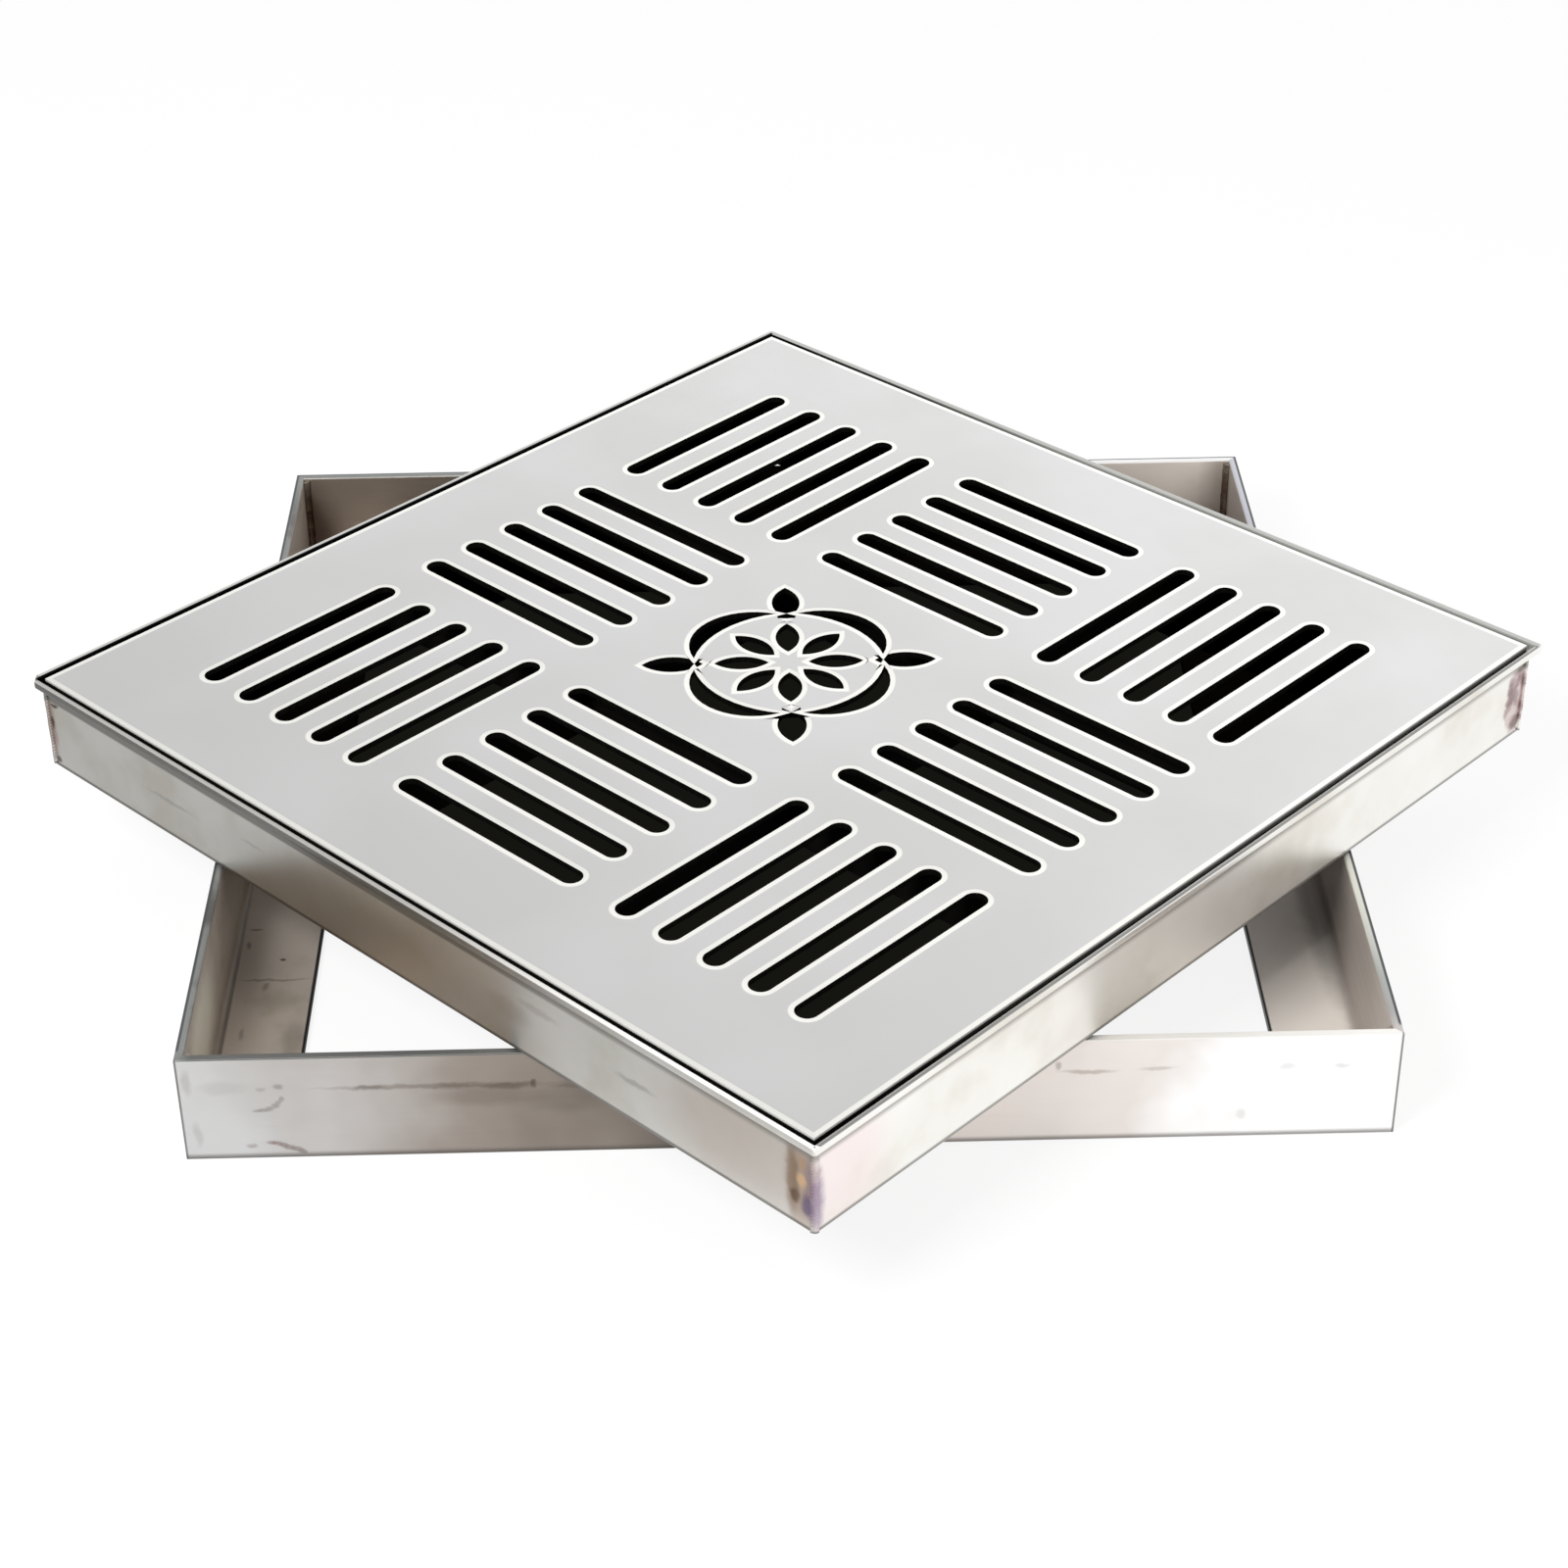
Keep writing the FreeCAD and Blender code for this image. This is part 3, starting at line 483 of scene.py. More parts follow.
def weld_bead_tree():
    """Upright weld beads, one on each root point, turned by the point's own angle."""
    tree = bpy.data.node_groups.new("upright_weld_beads", "GeometryNodeTree")
    tree.interface.new_socket("Roots", in_out="INPUT", socket_type="NodeSocketGeometry")
    for size in ("Length", "Radius", "Sweep", "Ripple Pitch", "Ripple Height"):
        tree.interface.new_socket(size, in_out="INPUT", socket_type="NodeSocketFloat")
    tree.interface.new_socket("Metal", in_out="INPUT", socket_type="NodeSocketMaterial")
    tree.interface.new_socket("Beads", in_out="OUTPUT", socket_type="NodeSocketGeometry")
    given = add(tree, "NodeGroupInput").node.outputs

    # One bead: a fan-shaped section swept up its length
    top = add(tree, "ShaderNodeCombineXYZ", {}, {"Z": given["Length"]})
    line = add(tree, "GeometryNodeCurvePrimitiveLine", {}, {"End": top})
    line = add(tree, "GeometryNodeResampleCurve", {}, {"Curve": line, "Count": BEAD_STEPS})
    start = add(tree, "ShaderNodeMath", {"operation": "MULTIPLY"}, {0: given["Sweep"], 1: -0.5})
    section = add(tree, "GeometryNodeCurveArc", {"mode": "RADIUS"}, {
        "Resolution": SECTION_STEPS,
        "Radius": given["Radius"],
        "Start Angle": start,
        "Sweep Angle": given["Sweep"],
        "Connect Center": True,
    })
    sweep = {"Curve": line, "Profile Curve": section, "Fill Caps": True}
    bead = add(tree, "GeometryNodeCurveToMesh", {}, sweep)

    # A bead on every root
    turn = add(tree, "GeometryNodeInputNamedAttribute", {"data_type": "FLOAT"}, {"Name": "turn"})
    turn = add(tree, "ShaderNodeCombineXYZ", {}, {"Z": turn})
    turn = add(tree, "FunctionNodeEulerToRotation", {}, {0: turn})
    beads = add(tree, "GeometryNodeInstanceOnPoints", {}, {
        "Points": given["Roots"],
        "Instance": bead,
        "Rotation": turn,
    })
    beads = add(tree, "GeometryNodeRealizeInstances", {}, {"Geometry": beads})

    # Ripples along the bead and a slight unevenness
    position = add(tree, "GeometryNodeInputPosition")
    height = add(tree, "ShaderNodeSeparateXYZ", {}, {0: position}, "Z")
    phase = add(tree, "ShaderNodeMath", {"operation": "DIVIDE"}, {0: height, 1: given["Ripple Pitch"]})
    phase = add(tree, "ShaderNodeMath", {"operation": "MULTIPLY"}, {0: phase, 1: math.pi})
    wave = add(tree, "ShaderNodeMath", {"operation": "SINE"}, {0: phase})
    wave = add(tree, "ShaderNodeMath", {"operation": "ABSOLUTE"}, {0: wave})
    uneven = add(tree, "ShaderNodeTexNoise", {}, {"Vector": position, "Scale": 1 / (5 * MM), "Detail": 2.0})
    swell = add(tree, "ShaderNodeMath", {"operation": "MULTIPLY_ADD"}, {0: uneven, 1: UNEVEN_SHARE, 2: wave})
    swell = add(tree, "ShaderNodeMath", {"operation": "SUBTRACT"}, {0: swell, 1: MEAN_SWELL})
    swell = add(tree, "ShaderNodeMath", {"operation": "MULTIPLY"}, {0: swell, 1: given["Ripple Height"]})
    normal = add(tree, "GeometryNodeInputNormal")
    offset = add(tree, "ShaderNodeVectorMath", {"operation": "SCALE"}, {0: normal, "Scale": swell})
    beads = add(tree, "GeometryNodeSetPosition", {}, {"Geometry": beads, "Offset": offset})
    beads = add(tree, "GeometryNodeSetShadeSmooth", {}, {"Geometry": beads})
    beads = add(tree, "GeometryNodeSetMaterial", {}, {"Geometry": beads, "Material": given["Metal"]})
    add(tree, "NodeGroupOutput", {}, {"Beads": beads})
    return tree


def weld_beads(name, roots, turns, sizes, metal):
    """Mesh of weld beads on the given roots."""
    mesh = bpy.data.meshes.new(f"{name}_roots")
    mesh.from_pydata(roots, [], [])
    angles = mesh.attributes.new("turn", "FLOAT", "POINT")
    for number, angle in enumerate(turns):
        angles.data[number].value = angle
    run = bpy.data.objects.new(f"{name}_roots", mesh)
    scene.collection.objects.link(run)
    laying = run.modifiers.new("beads", "NODES")
    laying.node_group = bead_tree
    inputs = {**sizes, "Metal": metal}
    for item in bead_tree.interface.items_tree:
        if item.in_out == "INPUT" and item.name in inputs:
            laying[item.identifier] = inputs[item.name]
    done = bpy.data.meshes.new_from_object(run.evaluated_get(bpy.context.evaluated_depsgraph_get()))
    done.name = name
    bpy.data.objects.remove(run)
    form = bmesh.new()
    form.from_mesh(done)
    bmesh.ops.remove_doubles(form, verts=form.verts, dist=MERGE)
    bmesh.ops.recalc_face_normals(form, faces=form.faces)
    form.to_mesh(done)
    form.free()
    return done


def tinted_weld_metal():
    """Stainless weld metal left as laid: grey-mauve with brown oxide spots and a soft gloss."""
    material, tree = new_material("tinted_weld_metal")
    spot = add(tree, "ShaderNodeTexCoord", out="Object")
    cloud = add(tree, "ShaderNodeTexNoise", {}, {"Vector": spot, "Scale": 1 / (9 * MM), "Detail": 3.0})
    heat = ((0.36, "#7a6a5f"), (0.50, "#6b5a4e"), (0.62, "#5a483c"))
    colour = add(tree, "ShaderNodeValToRGB", {}, {"Fac": cloud}, stops=heat)
    soot = add(tree, "ShaderNodeTexNoise", {}, {"Vector": spot, "Scale": 1 / (5 * MM), "Detail": 3.0})
    soot = add(tree, "ShaderNodeMapRange", SMOOTH, {"Value": soot, 1: 0.56, 2: 0.68, 4: 0.85})
    colour = add(tree, "ShaderNodeMix", COLOUR, {0: soot, MIX_A: colour, MIX_B: linear("#4a392d")}, MIXED)
    height = add(tree, "ShaderNodeSeparateXYZ", {}, {0: spot}, "Z")
    pale = add(tree, "ShaderNodeMapRange", SMOOTH, {"Value": height, **PALE_TOP})
    colour = add(tree, "ShaderNodeMix", COLOUR, {0: pale, MIX_A: colour, MIX_B: linear("#a39a90")}, MIXED)
    shader = add(tree, "ShaderNodeBsdfPrincipled", {}, {
        "Base Color": colour,
        "Metallic": 1.0,
        "Roughness": 0.42,
    })
    add(tree, "ShaderNodeOutputMaterial", {}, {"Surface": shader})
    return material


bead_tree = weld_bead_tree()
weld_metal = tinted_weld_metal()
bead_low, bead_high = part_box("frame_corner_welds")
corner_signs = ((-1, -1), (1, -1), (1, 1), (-1, 1))
bead_half = (bead_high.x - bead_low.x) / 2
bead_foot = Vector((FRAME_CENTRE.x, FRAME_CENTRE.y, bead_low.z))
frame_roots = [bead_foot + bead_half * Vector((sx, sy, 0.0)) for sx, sy in corner_signs]
frame_turns = [math.atan2(-sy, -sx) for sx, sy in corner_signs]
frame_bead_sizes = {
    "Length": bead_high.z - bead_low.z,
    "Radius": FRAME_BEAD_RADIUS,
    "Sweep": QUARTER,
    "Ripple Pitch": RIPPLE_PITCH,
    "Ripple Height": RIPPLE_HEIGHT,
}
frame_beads = weld_beads("frame_corner_beads", frame_roots, frame_turns, frame_bead_sizes, weld_metal)
set_in_place(frame_beads, "frame_corner_beads", ["frame_corner_welds"], [weld_metal])

# Rim of the cover
# Four folded walls of thin stainless sheet, stepped outward and hemmed round the plate, foot turned in.
# The sheet is bright and faintly wavy, stained brown and violet by the heat of the welded corners, with
# painted shade, highlights and reflections laid over it.
COVER_TURN = math.radians(45.2)
TO_COVER = Matrix.Rotation(-COVER_TURN, 3, "Z")
COVER_SIDES = {"front_right": 0.0, "back_right": 90.0, "back_left": 180.0, "front_left": 270.0}
RIM_ARRIS = 0.25 * MM


def cover_box(node):
    """Lowest and highest corner of a solid along the cover's own axes."""
    points = [TO_COVER @ v.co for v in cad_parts[node].data.vertices]
    low = Vector([min(p[i] for p in points) for i in range(3)])
    high = Vector([max(p[i] for p in points) for i in range(3)])
    return low, high


rim_low, rim_high = cover_box("rim_front_right")
plate_low, plate_high = cover_box("slotted_plate")
WALL_INNER = -cover_box("rest_front_right")[0].y
RIM_TOP = rim_high.z
RIM_FOOT = rim_low.z
LIP_HALF = -rim_low.y
SHEET = 1.2 * MM
WALL_OUTER = WALL_INNER + SHEET
HEM_INNER = LIP_HALF - 2 * SHEET
STEP_TOP = plate_low.z
PLATE_HALF = plate_high.x
HEM_ROUND = 1.0 * MM
HEM_PRESSED = 0.35
HEM_FALL = 0.8 * MM
HEM_CLOSER = 1.0 * MM
FOOT_OVER = RIM_FOOT + 2 * SHEET
FOOT_INSIDE = WALL_INNER - 10 * SHEET
FOOT_MORE = 9.0 * MM
TIP_ROUND = 2.0 * MM
TIP_CUTS = 6
CUT_SLACK = MERGE / 100
ROOT_2 = math.sqrt(2)
LEFT_BLUNT = 3.2 * MM
LEFT_TIP = LIP_HALF * ROOT_2 - LEFT_BLUNT

# Where a finish of the rim begins (input 1) and is full (input 2), along the cover's axes
UNDER_STEP = {1: STEP_TOP - 9.0 * MM, 2: STEP_TOP - 5.2 * MM}
NEAR_WALL = {1: WALL_OUTER + 2.5 * MM, 2: WALL_OUTER + 1.0 * MM}
DARKER_LEFT_END = {1: -0.75 * LIP_HALF, 2: 0.0}
STEP_FACE = {1: STEP_TOP - 8.0 * MM, 2: STEP_TOP - 7.4 * MM}
LEFT_WALL = {1: -WALL_OUTER + 0.8 * MM, 2: -WALL_OUTER + 0.4 * MM}
FOOT_LINE = {1: RIM_FOOT + 3.6 * MM, 2: RIM_FOOT + 2.2 * MM}
HEM_TOP = {1: RIM_TOP - 1.3 * MM, 2: RIM_TOP - 1.0 * MM}
IN_FROM_LIP = {1: LIP_HALF - 0.1 * MM, 2: LIP_HALF - 0.5 * MM}
HEM_EDGE = 0.3 * MM
LEFT_HEM = {1: -HEM_INNER + 1.2 * MM, 2: -HEM_INNER + 0.9 * MM}
LEFT_FACE = {1: -LIP_HALF + 0.8 * MM, 2: -LIP_HALF + 0.5 * MM}
INSIDE_WALL = {1: WALL_INNER + 0.7 * SHEET, 2: WALL_INNER + 0.3 * SHEET}
BACK_HEM = {1: HEM_INNER - 0.2 * MM, 2: HEM_INNER}
BACK_WIDER = 0.7 * MM
GAP_SIDE = {1: HEM_INNER + 0.4 * SHEET, 2: HEM_INNER + 0.1 * SHEET}
DEEP_IN_GAP = {1: RIM_TOP - 1.3 * MM, 2: RIM_TOP - 1.7 * MM}
ABOVE_STEP = {1: STEP_TOP - 0.8 * SHEET, 2: STEP_TOP - 0.4 * SHEET}
RIGHT_OF_PLATE = {1: PLATE_HALF, 2: PLATE_HALF + 0.4 * MM}
PALE_BAND_NEAR = {1: LIP_HALF, 2: 0.0}
BELOW_STEP = {1: STEP_TOP - 2 * SHEET, 2: STEP_TOP - 4 * SHEET}
FRONT_WALL = {1: 1.0 * MM - WALL_OUTER, 2: 0.5 * MM - WALL_OUTER}

# The broad mottled weld at the right corner: its middle and half-size along the cover's axes in mm
BEAD_MIDDLE = (232.0, -239.0, 74.0)
BEAD_HALF = (9.0, 5.0, 21.0)
BEAD_RIM = {1: 1.0, 2: 0.72}

# The stretch of the front right wall that handling has hazed: its middle and its half-lengths
HAZE_MIDDLE = 12.0 * MM
HAZE_SPAN = {1: 120.0 * MM, 2: 60.0 * MM}
HAZE_SHARE = 0.38

# A painted reflection darkening the front left wall, then heat tint, weld spots and scuffs: middle and
# half-size along the cover's axes in mm, colour, share
RIM_MARKS = (
    # Painted reflection: the front left wall darkened where it mirrors dim surroundings
    ((-239, -200, 76), (5, 62, 34), "#dacec5", 0.70),
    ((-239, 15, 64), (5, 120, 36), "#bbb3aa", 0.70),
    ((-222, -239, 76), (32, 5, 38), "#f6dfe0", 0.45),
    ((-239, -232.0, 75), (5, 11.0, 32), "#bda593", 0.85),
    ((-239, -227.5, 75), (5, 4.5, 25), "#86694a", 0.60),
    ((-239, -237.0, 74), (5, 5.5, 24), "#a58f94", 0.75),
    ((-239, -232.2, 76), (5, 3.2, 5.0), "#edc79a", 0.80),
    ((-239, -232.5, 84), (5, 3.0, 4.6), "#caa57c", 0.50),
    ((-239, -229.0, 67), (5, 3.6, 5.0), "#5b4230", 0.65),
    ((-239, -235.5, 65), (5, 4.6, 8.0), "#6f6186", 0.75),
    ((-237.5, -239.5, 68), (5.5, 4.0, 22), "#9a86a4", 0.65),
    ((228, -239, 84), (4.0, 5, 4.0), "#8a7474", 0.55),
    ((232, -239, 75), (4.0, 5, 4.0), "#8d787c", 0.50),
    ((233, -239, 60), (4.6, 5, 3.4), "#8f7872", 0.55),
    ((235, -239, 89), (5, 5, 3.2), "#4f4546", 0.80),
    ((-239, 237, 75), (5, 4.0, 24), "#c3b0aa", 0.70),
    ((-239, 234.5, 74), (5, 2.0, 16), "#d9c6bf", 0.60),
    ((-239, 233.0, 87), (5, 5.0, 1.7), "#463529", 0.85),
    ((-239, 236.0, 77), (5, 2.0, 4.5), "#5a463a", 0.75),
    ((-239, 235.5, 57), (5, 2.6, 2.6), "#54443a", 0.75),
    ((-239, 150, 72), (5, 22, 1.6), "#b9b7b0", 0.50),
    ((-239, 92, 76), (5, 10, 1.4), "#c0beb8", 0.45),
    ((-239, -88, 80), (5, 16, 3.0), "#cfc8c0", 0.50),
    ((-239, -143, 73), (5, 14, 2.4), "#b4b2ac", 0.55),
    ((-239, -70, 72), (5, 18, 8.0), "#d6cdc2", 0.50),
)


def pressed_hem(form, turn, closer):
    """Press the hem flat, let its top fall inward and close up, widen the foot, round or blunt the tips."""
    to_side = Matrix.Rotation(-COVER_TURN - math.radians(turn), 3, "Z")
    to_world = to_side.transposed()
    tip = LIP_HALF - TIP_ROUND
    cuts = [LEFT_TIP * ROOT_2 - LIP_HALF]
    cuts += [tip + step * TIP_ROUND / TIP_CUTS for step in range(TIP_CUTS)]
    for cut in cuts:
        for way in (-1.0, 1.0):
            place = to_world @ Vector((way * cut, 0.0, 0.0))
            across = place.normalized()
            parts = list(form.verts) + list(form.edges) + list(form.faces)
            bmesh.ops.bisect_plane(form, geom=parts, dist=CUT_SLACK, plane_co=place, plane_no=across)
    for vert in form.verts:
        at = to_side @ vert.co
        along, reach, rise = abs(at.x), -at.y, at.z
        mitred = abs(along - reach) < MERGE
        if rise > RIM_TOP - HEM_ROUND - MERGE and reach > HEM_INNER - MERGE:
            rise = RIM_TOP - HEM_PRESSED * (RIM_TOP - rise)
            if reach > LIP_HALF - HEM_ROUND - MERGE:
                reach = LIP_HALF - HEM_PRESSED * (LIP_HALF - reach)
            else:
                reach = HEM_INNER + HEM_PRESSED * (reach - HEM_INNER) - closer
            rise -= HEM_FALL * (LIP_HALF - reach) / (LIP_HALF - HEM_INNER)
        elif rise < FOOT_OVER and reach < FOOT_INSIDE:
            reach -= FOOT_MORE
        if mitred:
            along = reach
        out, end = reach - tip, along - tip
        if out > 0 and end > 0:
            inward = max(out, end) / math.hypot(out, end)
            reach = tip + out * inward
            along = tip + end * inward
        vert.co = to_world @ Vector((math.copysign(along, at.x), -reach, rise))
        vert.co.x = max(vert.co.x, -LEFT_TIP)


def folded_bright_sheet():
    """Cold-rolled stainless sheet, folded: soft bright skin in faint olive clouds, tinted by the welds, with
    painted shade, highlights and reflections.
    """
    material, tree = new_material("folded_stainless_sheet")
    spot = add(tree, "ShaderNodeTexCoord", out="Object")
    turned = add(tree, "ShaderNodeMapping", {}, {"Vector": spot, "Rotation": (0.0, 0.0, -COVER_TURN)})
    axes = add(tree, "ShaderNodeSeparateXYZ", {}, {0: turned}).node.outputs
    across = add(tree, "ShaderNodeMath", {"operation": "ABSOLUTE"}, {0: axes["X"]})
    along = add(tree, "ShaderNodeMath", {"operation": "ABSOLUTE"}, {0: axes["Y"]})
    reach = add(tree, "ShaderNodeMath", {"operation": "MAXIMUM"}, {0: across, 1: along})

    # Cold-rolled skin
    cloud = add(tree, "ShaderNodeTexNoise", {}, {"Vector": turned, "Scale": 1 / (45 * MM), "Detail": 4.0})
    skin = ((0.34, "#f7f5f1"), (0.50, "#f2f0ea"), (0.66, "#e5e1d8"))
    colour = add(tree, "ShaderNodeValToRGB", {}, {"Fac": cloud}, stops=skin)

    # Heat tint at the welds, single scuffs and the painted reflection on the front left wall, all with
    # ragged edges
    rag = ragged(tree, turned, size=5 * MM, push=3 * MM, detail=3.0)
    bead = add(tree, "ShaderNodeTexNoise", {}, {"Vector": turned, "Scale": 1 / (7 * MM), "Detail": 3.0})
    mauve = ((0.36, "#8f7a7a"), (0.50, "#bda9a8"), (0.62, "#dccdc9"))
    bead = add(tree, "ShaderNodeValToRGB", {}, {"Fac": bead}, stops=mauve)
    lumps = add(tree, "ShaderNodeVectorMath", {"operation": "SUBTRACT"}, {0: rag, 1: turned})
    lumps = add(tree, "ShaderNodeVectorMath", {"operation": "ADD"}, {0: rag, 1: lumps})
    lumps = in_mark(tree, lumps, BEAD_MIDDLE, BEAD_HALF)
    lumps = add(tree, "ShaderNodeVectorMath", {"operation": "LENGTH"}, {0: lumps}, "Value")
    lumps = add(tree, "ShaderNodeMapRange", SMOOTH, {"Value": lumps, **BEAD_RIM, 4: 0.95})
    colour = add(tree, "ShaderNodeMix", COLOUR, {0: lumps, MIX_A: colour, MIX_B: bead}, MIXED)
    colour = with_marks(tree, rag, colour, RIM_MARKS)

    # Painted shadow under the step, and a painted shade line along the foot
    step_shadow = add(tree, "ShaderNodeMapRange", SMOOTH, {"Value": axes["Z"], **UNDER_STEP, 4: 0.8})
    step_shadow = add(tree, "ShaderNodeMapRange", {}, {"Value": reach, **NEAR_WALL, 4: step_shadow})
    foot_shadow = add(tree, "ShaderNodeMapRange", SMOOTH, {"Value": axes["Z"], **FOOT_LINE, 4: 0.75})
    layers = [(step_shadow, "#97928c"), (foot_shadow, "#6a6661")]

    # The hem's top is painted in lit and shaded tones by side: grey on the front right, pale on the back
    # left, near white on the back right, and a painted highlight on the front left, where the hem's face and
    # the wall just under it are painted darker as shade towards the left end
    hem_top = add(tree, "ShaderNodeMapRange", {}, {"Value": axes["Z"], **HEM_TOP})
    hem_top = add(tree, "ShaderNodeMapRange", {}, {"Value": reach, **IN_FROM_LIP, 4: hem_top})
    for axis, side, code in (("Y", -1, "#8e8e8d"), ("Y", 1, "#d0d0cd"), ("X", 1, "#e9e9e6")):
        hem_tone = {"Value": axes[axis], 1: side * HEM_INNER, 2: side * (HEM_INNER + HEM_EDGE), 4: hem_top}
        layers.append((add(tree, "ShaderNodeMapRange", {}, hem_tone), code))
    hem_highlight = add(tree, "ShaderNodeMapRange", {}, {"Value": axes["X"], **LEFT_HEM, 4: hem_top})
    darker_left = add(tree, "ShaderNodeMapRange", SMOOTH, {"Value": axes["Y"], **DARKER_LEFT_END})
    shaded_wall = add(tree, "ShaderNodeMapRange", {}, {"Value": axes["Z"], **STEP_FACE, 4: darker_left})
    shaded_wall = add(tree, "ShaderNodeMapRange", {}, {"Value": axes["X"], **LEFT_WALL, 4: shaded_wall})
    hem_face = add(tree, "ShaderNodeMapRange", {}, {"Value": axes["X"], **LEFT_FACE, 4: darker_left})
    hem_face = add(tree, "ShaderNodeMath", {"operation": "MAXIMUM"}, {0: hem_face, 1: shaded_wall})
    layers += [(hem_highlight, "#fbfaf6"), (hem_face, "#a19f9b")]

    # The rim's inside and the gap round the plate are painted black as shade; in the gap on the back right,
    # towards its front end, the colour is pale grey instead
    inside = add(tree, "ShaderNodeMapRange", {}, {"Value": reach, **INSIDE_WALL})
    far = add(tree, "ShaderNodeMapRange", {}, {"Value": axes["Y"], **BACK_HEM, 4: BACK_WIDER})
    far = add(tree, "ShaderNodeMath", {"operation": "SUBTRACT"}, {0: reach, 1: far})
    gap = add(tree, "ShaderNodeMapRange", {}, {"Value": far, **GAP_SIDE})
    deep = add(tree, "ShaderNodeMapRange", {}, {"Value": axes["Z"], **DEEP_IN_GAP, 4: gap})
    near = add(tree, "ShaderNodeMath", {"operation": "ADD"}, {0: axes["X"], 1: axes["Y"]})
    near = add(tree, "ShaderNodeMath", {"operation": "LESS_THAN"}, {0: near, 1: 0.0})
    gap = add(tree, "ShaderNodeMix", {"data_type": "FLOAT"}, {0: near, 2: gap, 3: deep})
    above_step = add(tree, "ShaderNodeMapRange", {}, {"Value": axes["Z"], **ABOVE_STEP, 4: gap})
    gap_shade = add(tree, "ShaderNodeMath", {"operation": "MAXIMUM"}, {0: inside, 1: above_step})
    pale_band = add(tree, "ShaderNodeMapRange", {}, {"Value": axes["X"], **RIGHT_OF_PLATE, 4: above_step})
    pale_band = add(tree, "ShaderNodeMapRange", SMOOTH, {"Value": axes["Y"], **PALE_BAND_NEAR, 4: pale_band})
    layers += [(gap_shade, "#080808"), (pale_band, "#a2a29e")]
    for share, code in layers:
        colour = add(tree, "ShaderNodeMix", COLOUR, {0: share, MIX_A: colour, MIX_B: linear(code)}, MIXED)

    # The painted hem highlight, the pale band in the gap and the hazed stretch are matt
    below = add(tree, "ShaderNodeMapRange", {}, {"Value": axes["Z"], **BELOW_STEP})
    facing = add(tree, "ShaderNodeMapRange", {}, {"Value": axes["Y"], **FRONT_WALL, 4: below})
    off = add(tree, "ShaderNodeMath", {"operation": "SUBTRACT"}, {0: axes["X"], 1: HAZE_MIDDLE})
    off = add(tree, "ShaderNodeMath", {"operation": "ABSOLUTE"}, {0: off})
    hazy = add(tree, "ShaderNodeMapRange", SMOOTH, {"Value": off, **HAZE_SPAN, 4: HAZE_SHARE})
    hazy = add(tree, "ShaderNodeMath", {"operation": "MULTIPLY"}, {0: hazy, 1: facing})
    matt = add(tree, "ShaderNodeMath", {"operation": "MAXIMUM"}, {0: pale_band, 1: hem_highlight})
    matt = add(tree, "ShaderNodeMath", {"operation": "MAXIMUM"}, {0: matt, 1: hazy})
    shine = add(tree, "ShaderNodeMapRange", {}, {"Value": matt, 3: 1.0, 4: 0.1})

    # Faint waves of thin sheet
    wave = add(tree, "ShaderNodeTexNoise", {}, {"Vector": turned, "Scale": 1 / (45 * MM), "Detail": 1.0})
    bump = add(tree, "ShaderNodeBump", {}, {"Strength": 0.5, "Distance": 0.6 * MM, "Height": wave})
    shader = add(tree, "ShaderNodeBsdfPrincipled", {}, {
        "Base Color": colour,
        "Metallic": shine,
        "Roughness": 0.33,
        "Normal": bump,
    })
    add(tree, "ShaderNodeOutputMaterial", {}, {"Surface": shader})
    return material


rim_steel = folded_bright_sheet()
for side, turn in COVER_SIDES.items():
    node = f"rim_{side}"
    form = joined_copy(node)
    pressed_hem(form, turn, HEM_CLOSER if side.startswith("front") else 0.0)
    wall = with_arrises(form, f"{node}_fold", RIM_ARRIS, TO_COVER)
    set_in_place(wall, f"{node}_fold", [node], [rim_steel])

# Welds at the rim's corners
# An upright bead closes each outer corner of the rim, from the foot to just under the step, left unground.
# It is run out of the sheet itself, so it takes the sheet's skin and the same heat tint.
RIM_BEAD_SWEEP = math.radians(104.0)
low, high = cover_box("rim_corner_welds")
TO_WORLD = TO_COVER.transposed()
rim_roots = [TO_WORLD @ Vector((sx * WALL_INNER, sy * WALL_INNER, low.z)) for sx, sy in corner_signs]
rim_turns = [math.atan2(sy, sx) + COVER_TURN for sx, sy in corner_signs]
rim_bead_sizes = {
    "Length": high.z - low.z,
    "Radius": high.x - WALL_INNER,
    "Sweep": RIM_BEAD_SWEEP,
    "Ripple Pitch": RIPPLE_PITCH,
    "Ripple Height": RIPPLE_HEIGHT,
}
rim_beads = weld_beads("rim_corner_beads", rim_roots, rim_turns, rim_bead_sizes, rim_steel)
set_in_place(rim_beads, "rim_corner_beads", ["rim_corner_welds"], [rim_steel])

# Rest strips, ribs and their welds
# Flat bars inside the rim that carry the plate, welded at their ends and out of sight from above.
# They are dull as rolled, and nearly black, for their scale and as painted shade under the plate.


def scaled_flat_bar():
    """Hot-rolled flat bar with its mill scale: nearly black, dull, mottled, its black standing also for
    painted shade under the plate.
    """
    material, tree = new_material("scaled_flat_bar")
    spot = add(tree, "ShaderNodeTexCoord", out="Object")
    cloud = add(tree, "ShaderNodeTexNoise", {}, {"Vector": spot, "Scale": 1 / (30 * MM), "Detail": 5.0})
    scale = ((0.36, "#0a0908"), (0.64, "#12100e"))
    colour = add(tree, "ShaderNodeValToRGB", {}, {"Fac": cloud}, stops=scale)
    shader = add(tree, "ShaderNodeBsdfPrincipled", {}, {
        "Base Color": colour,
        "Roughness": 0.8,
        "Specular IOR Level": 0.1,
    })
    add(tree, "ShaderNodeOutputMaterial", {}, {"Surface": shader})
    return material


